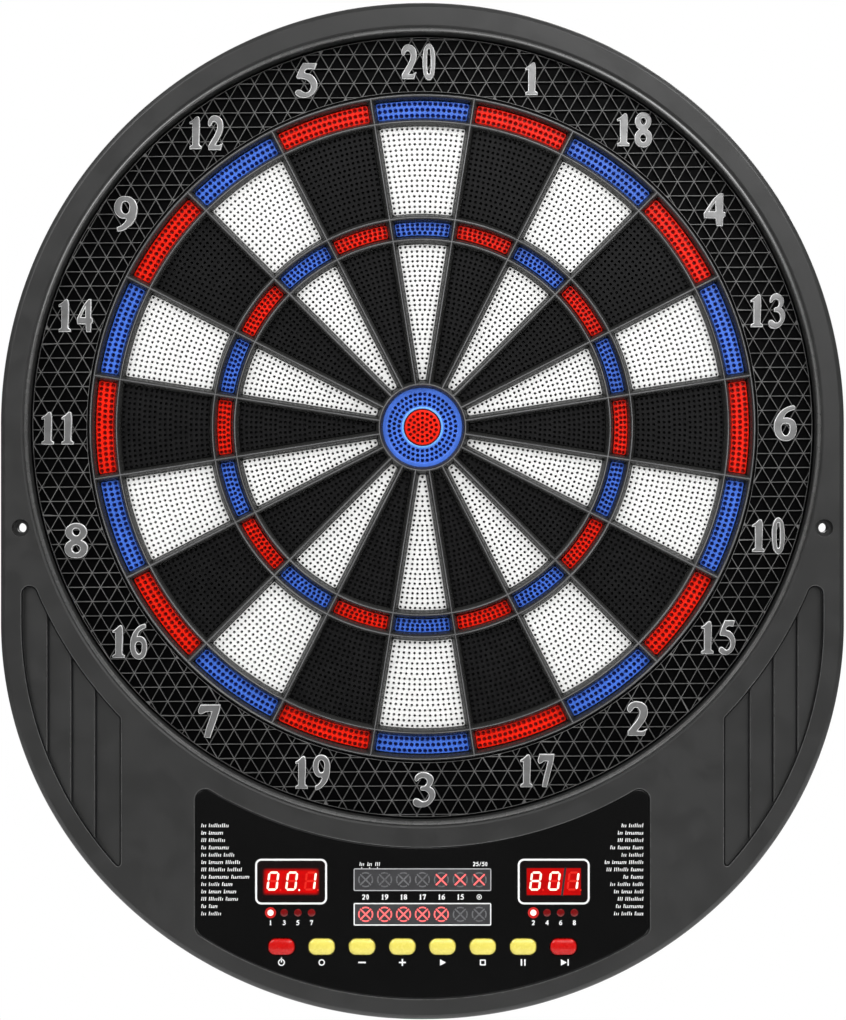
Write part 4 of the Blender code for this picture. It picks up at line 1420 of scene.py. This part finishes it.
def add_buttons():
    """Domed rubber keys that stand a little proud of the lens."""
    low_y, high_y = cad("button_1")[1].y, cad("button_1")[0].y
    lip_y = low_y - 1.0
    for index, centre in enumerate(BUTTON_CENTRES, start=1):
        shell = Shell()
        lip = stadium(1.3, centre, 10)
        key = stadium(0.0, centre, 10)
        levels = [(lip, low_y), (lip, lip_y), (key, lip_y), (key, high_y + KEY_DOME)]
        for step in range(1, KEY_STEPS + 1):
            turn = math.pi / 2 * step / KEY_STEPS
            shrink = min(4.0 * (1 - math.cos(turn)) ** 1.15, 3.7)
            levels.append((grown(key, -shrink), high_y + KEY_DOME - KEY_DOME * math.sin(turn) ** 0.9))
        shell.closed(shell.stack(levels))
        colour = "red" if index in (1, 8) else "yellow"
        name, node = f"key_{index}", f"button_{index}"
        shell.finish(name, f"button_{colour}", node, [node], sharp=50.0)


# ---------------------------------------------------------------- rear details and inner parts


SCREW_PROFILE = (
    (1.5, -20.0), (1.5, -1.4), (2.9, -1.4), (2.9, -0.95), (2.75, -0.65), (2.35, -0.42), (1.9, -0.34),
)


def cross_outline(centre, reach, half):
    """A plus sign, as a cross-slot's opening."""
    r, h = reach, half
    corners = [(-h, -r), (h, -r), (h, -h), (r, -h), (r, h), (h, h)]
    corners += [(h, r), (-h, r), (-h, h), (-r, h), (-r, -h), (-h, -h)]
    return [Vector(centre) + Vector(corner) for corner in corners]


def add_screws():
    """Eight pan-head screws with cross slots, seen in the recesses of the rear cover."""
    shell = Shell()
    nodes = []
    for index, centre in enumerate(screw_centres(), start=1):
        nodes.append(f"case_screw_{index}")
        rings = shell.turned(SCREW_PROFILE, 28, centre)
        levels = [(cross_outline(centre, 1.45, 0.32), -0.34), (cross_outline(centre, 0.8, 0.2), -1.3)]
        cut = shell.stack(levels)
        shell.fill(cut[-1])
        shell.fill(rings[-1], [cut[0]])
        shell.fill(rings[0])
    shell.finish("case_screws", "steel", "housing", nodes)


def add_jack():
    """Supply inlet: a square body with a round barrel and its centre pin, opening to +X."""
    low, high = cad("supply_jack")
    shell = Shell()
    body = rounded_rectangle(9.0, 9.0, 0.6)
    reach = high.x - low.x
    box = shell.stack([(body, 0.0), (body, reach - 3.5), (grown(body, -0.3), reach - 3.3)])
    shell.fill(box[0])
    barrel = [(3.4, reach - 3.3), (3.4, reach - 0.3), (3.15, reach)]
    barrel += [(2.2, reach), (1.95, reach - 0.3), (1.95, 4.0)]
    rings = shell.turned(barrel, 36)
    shell.fill(box[-1], [rings[0]])
    shell.fill(rings[-1])
    shell.slot = 1
    pin = shell.turned(((0.65, 4.1), (0.65, reach - 1.6), (0.4, reach - 1.2)), 20)
    shell.closed(pin)
    shell.place(-90, (low.x, (low.y + high.y) / 2, (low.z + high.z) / 2))
    shell.finish("supply_inlet", "jack brass", "housing", ["supply_jack"])


def finish_inner_parts():
    """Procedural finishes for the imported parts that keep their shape, most of them hidden."""
    finishes = {
        "backing_plate": plastic("backing_grain", (0.05, 0.05, 0.055), 0.6, 0.08, 40.0, 0.6, 0.2),
        "sensor_membrane": plastic("membrane_film", (0.55, 0.57, 0.5), 0.35, 0.05, 30.0, 1.0, 0.05),
        "membrane_tail": plastic("tail_film", (0.55, 0.57, 0.5), 0.35, 0.05, 30.0, 1.0, 0.05),
        "rubber_mat": plastic("mat_rubber", (0.02, 0.02, 0.02), 0.85, 0.2, 20.0, 0.5, 0.3),
        "button_pad": plastic("pad_rubber", (0.03, 0.03, 0.03), 0.8, 0.15, 15.0, 0.5, 0.2),
        "display_board": plastic("board_green", (0.02, 0.12, 0.05), 0.4, 0.25, 4.0, 0.4, 0.2),
        "main_board": plastic("main_board_green", (0.02, 0.11, 0.045), 0.4, 0.25, 4.0, 0.4, 0.2),
        "board_ribbon": plastic("ribbon_film", (0.6, 0.62, 0.6), 0.4, 0.06, 10.0, 0.6, 0.1),
        "speaker": plastic("speaker_cone", (0.02, 0.02, 0.02), 0.75, 0.25, 6.0, 0.6, 0.4),
        "speaker_retainer": plastic("retainer_grain", (0.05, 0.05, 0.055), 0.55, 0.08, 30.0, 0.5, 0.2),
    }
    for node, look in finishes.items():
        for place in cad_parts[node].material_slots:
            place.material = look


# ---------------------------------------------------------------- stage, light and camera

VIEW_HEIGHT = 533.63
VIEW_CENTRE = (0.3, -43.6)
VIEW_DISTANCE = 1080.0


def add_floor():
    mesh = bpy.data.meshes.new("floor")
    back, front, side, level = 1.5, -1.5, 2.0, CAD_BOX[0].z - 0.45
    corners = ((-side, front, level), (side, front, level), (side, back, level), (-side, back, level))
    mesh.from_pydata(corners, [], [(0, 1, 2, 3)])
    nodes = Nodes(bpy.data.materials.new("floor_pale"))
    clouds = nodes.ramp(nodes.noise(400.0, 2.0), 0.0, 1.0)
    pale = nodes.set(
        Base_Color=nodes.mix(clouds, (0.88, 0.88, 0.88), (0.92, 0.92, 0.92)),
        Roughness=nodes.ramp(clouds, 0.8, 0.9, 0.0, 1.0),
        Emission_Color=(1.0, 1.0, 1.0),
        Emission_Strength=0.2,
    )
    mesh.materials.append(pale)
    new_object("floor", mesh)


def add_area_light(name, place, size, power):
    light = bpy.data.lights.new(name, "AREA")
    light.shape = "RECTANGLE"
    light.size, light.size_y = size
    light.energy = power
    item = new_object(name, light)
    item.location = place
    aim = Vector((0.0, 0.0, -0.04)) - Vector(place)
    item.rotation_euler = aim.to_track_quat("-Z", "Y").to_euler()


def add_lights():
    add_area_light("key", (1.1, -0.95, 1.25), (1.0, 1.0), 25.5)
    add_area_light("fill", (-1.2, -0.95, 1.0), (1.0, 1.2), 22.0)
    add_area_light("front", (0.5, -1.9, 0.95), (1.2, 1.3), 17.0)
    add_area_light("low", (0.0, -1.0, -1.35), (1.6, 0.5), 3.0)
    add_area_light("rear", (0.6, 1.8, 1.2), (1.6, 1.6), 40.0)


def add_world():
    """White behind everything the camera sees, and dim for the light that it sheds."""
    nodes = Nodes(bpy.data.worlds.new("studio"), "Background", "Generated")
    sky = nodes.ramp(nodes.axis("Z"), 0.03, 0.24, -0.5, 0.6, "LINEAR")
    seen = nodes.add("LightPath", "Is Camera Ray", {})
    strength = nodes.ramp(seen, sky, 1.0, 0.0, 1.0, "LINEAR")
    bpy.context.scene.world = nodes.set(Color=(1.0, 1.0, 1.0), Strength=strength)


def add_camera():
    """Looks straight at the face from the front; the picture is taller than it is wide."""
    camera = bpy.data.cameras.new("camera")
    distance = VIEW_DISTANCE * MM
    camera.lens = camera.sensor_width * distance / (VIEW_HEIGHT * MM)
    item = new_object("camera", camera)
    item.location = (VIEW_CENTRE[0] * MM, FACE_FRONT * MM - distance, VIEW_CENTRE[1] * MM)
    item.rotation_euler = (math.pi / 2, 0.0, 0.0)
    bpy.context.scene.camera = item


def main():
    add_bezel()
    add_cover()
    add_catch_ring()
    add_numbers()
    add_spider()
    add_segments()
    add_outer_bull()
    add_inner_bull()
    add_lens()
    add_prints()
    add_score_window("left_score_window", 0, "001")
    add_score_window("right_score_window", 1, "801")
    add_mark_window("upper_mark_window", 0, (4, 5, 6), ())
    add_mark_window("lower_mark_window", 1, (0, 1, 2, 3, 4), (0, 1, 2, 3, 4))
    add_lamps("left_lamps", 0)
    add_lamps("right_lamps", 1)
    add_buttons()
    add_screws()
    add_jack()
    finish_inner_parts()
    add_floor()
    add_lights()
    add_world()
    add_camera()
    bpy.context.scene.view_settings.view_transform = "Standard"


main()
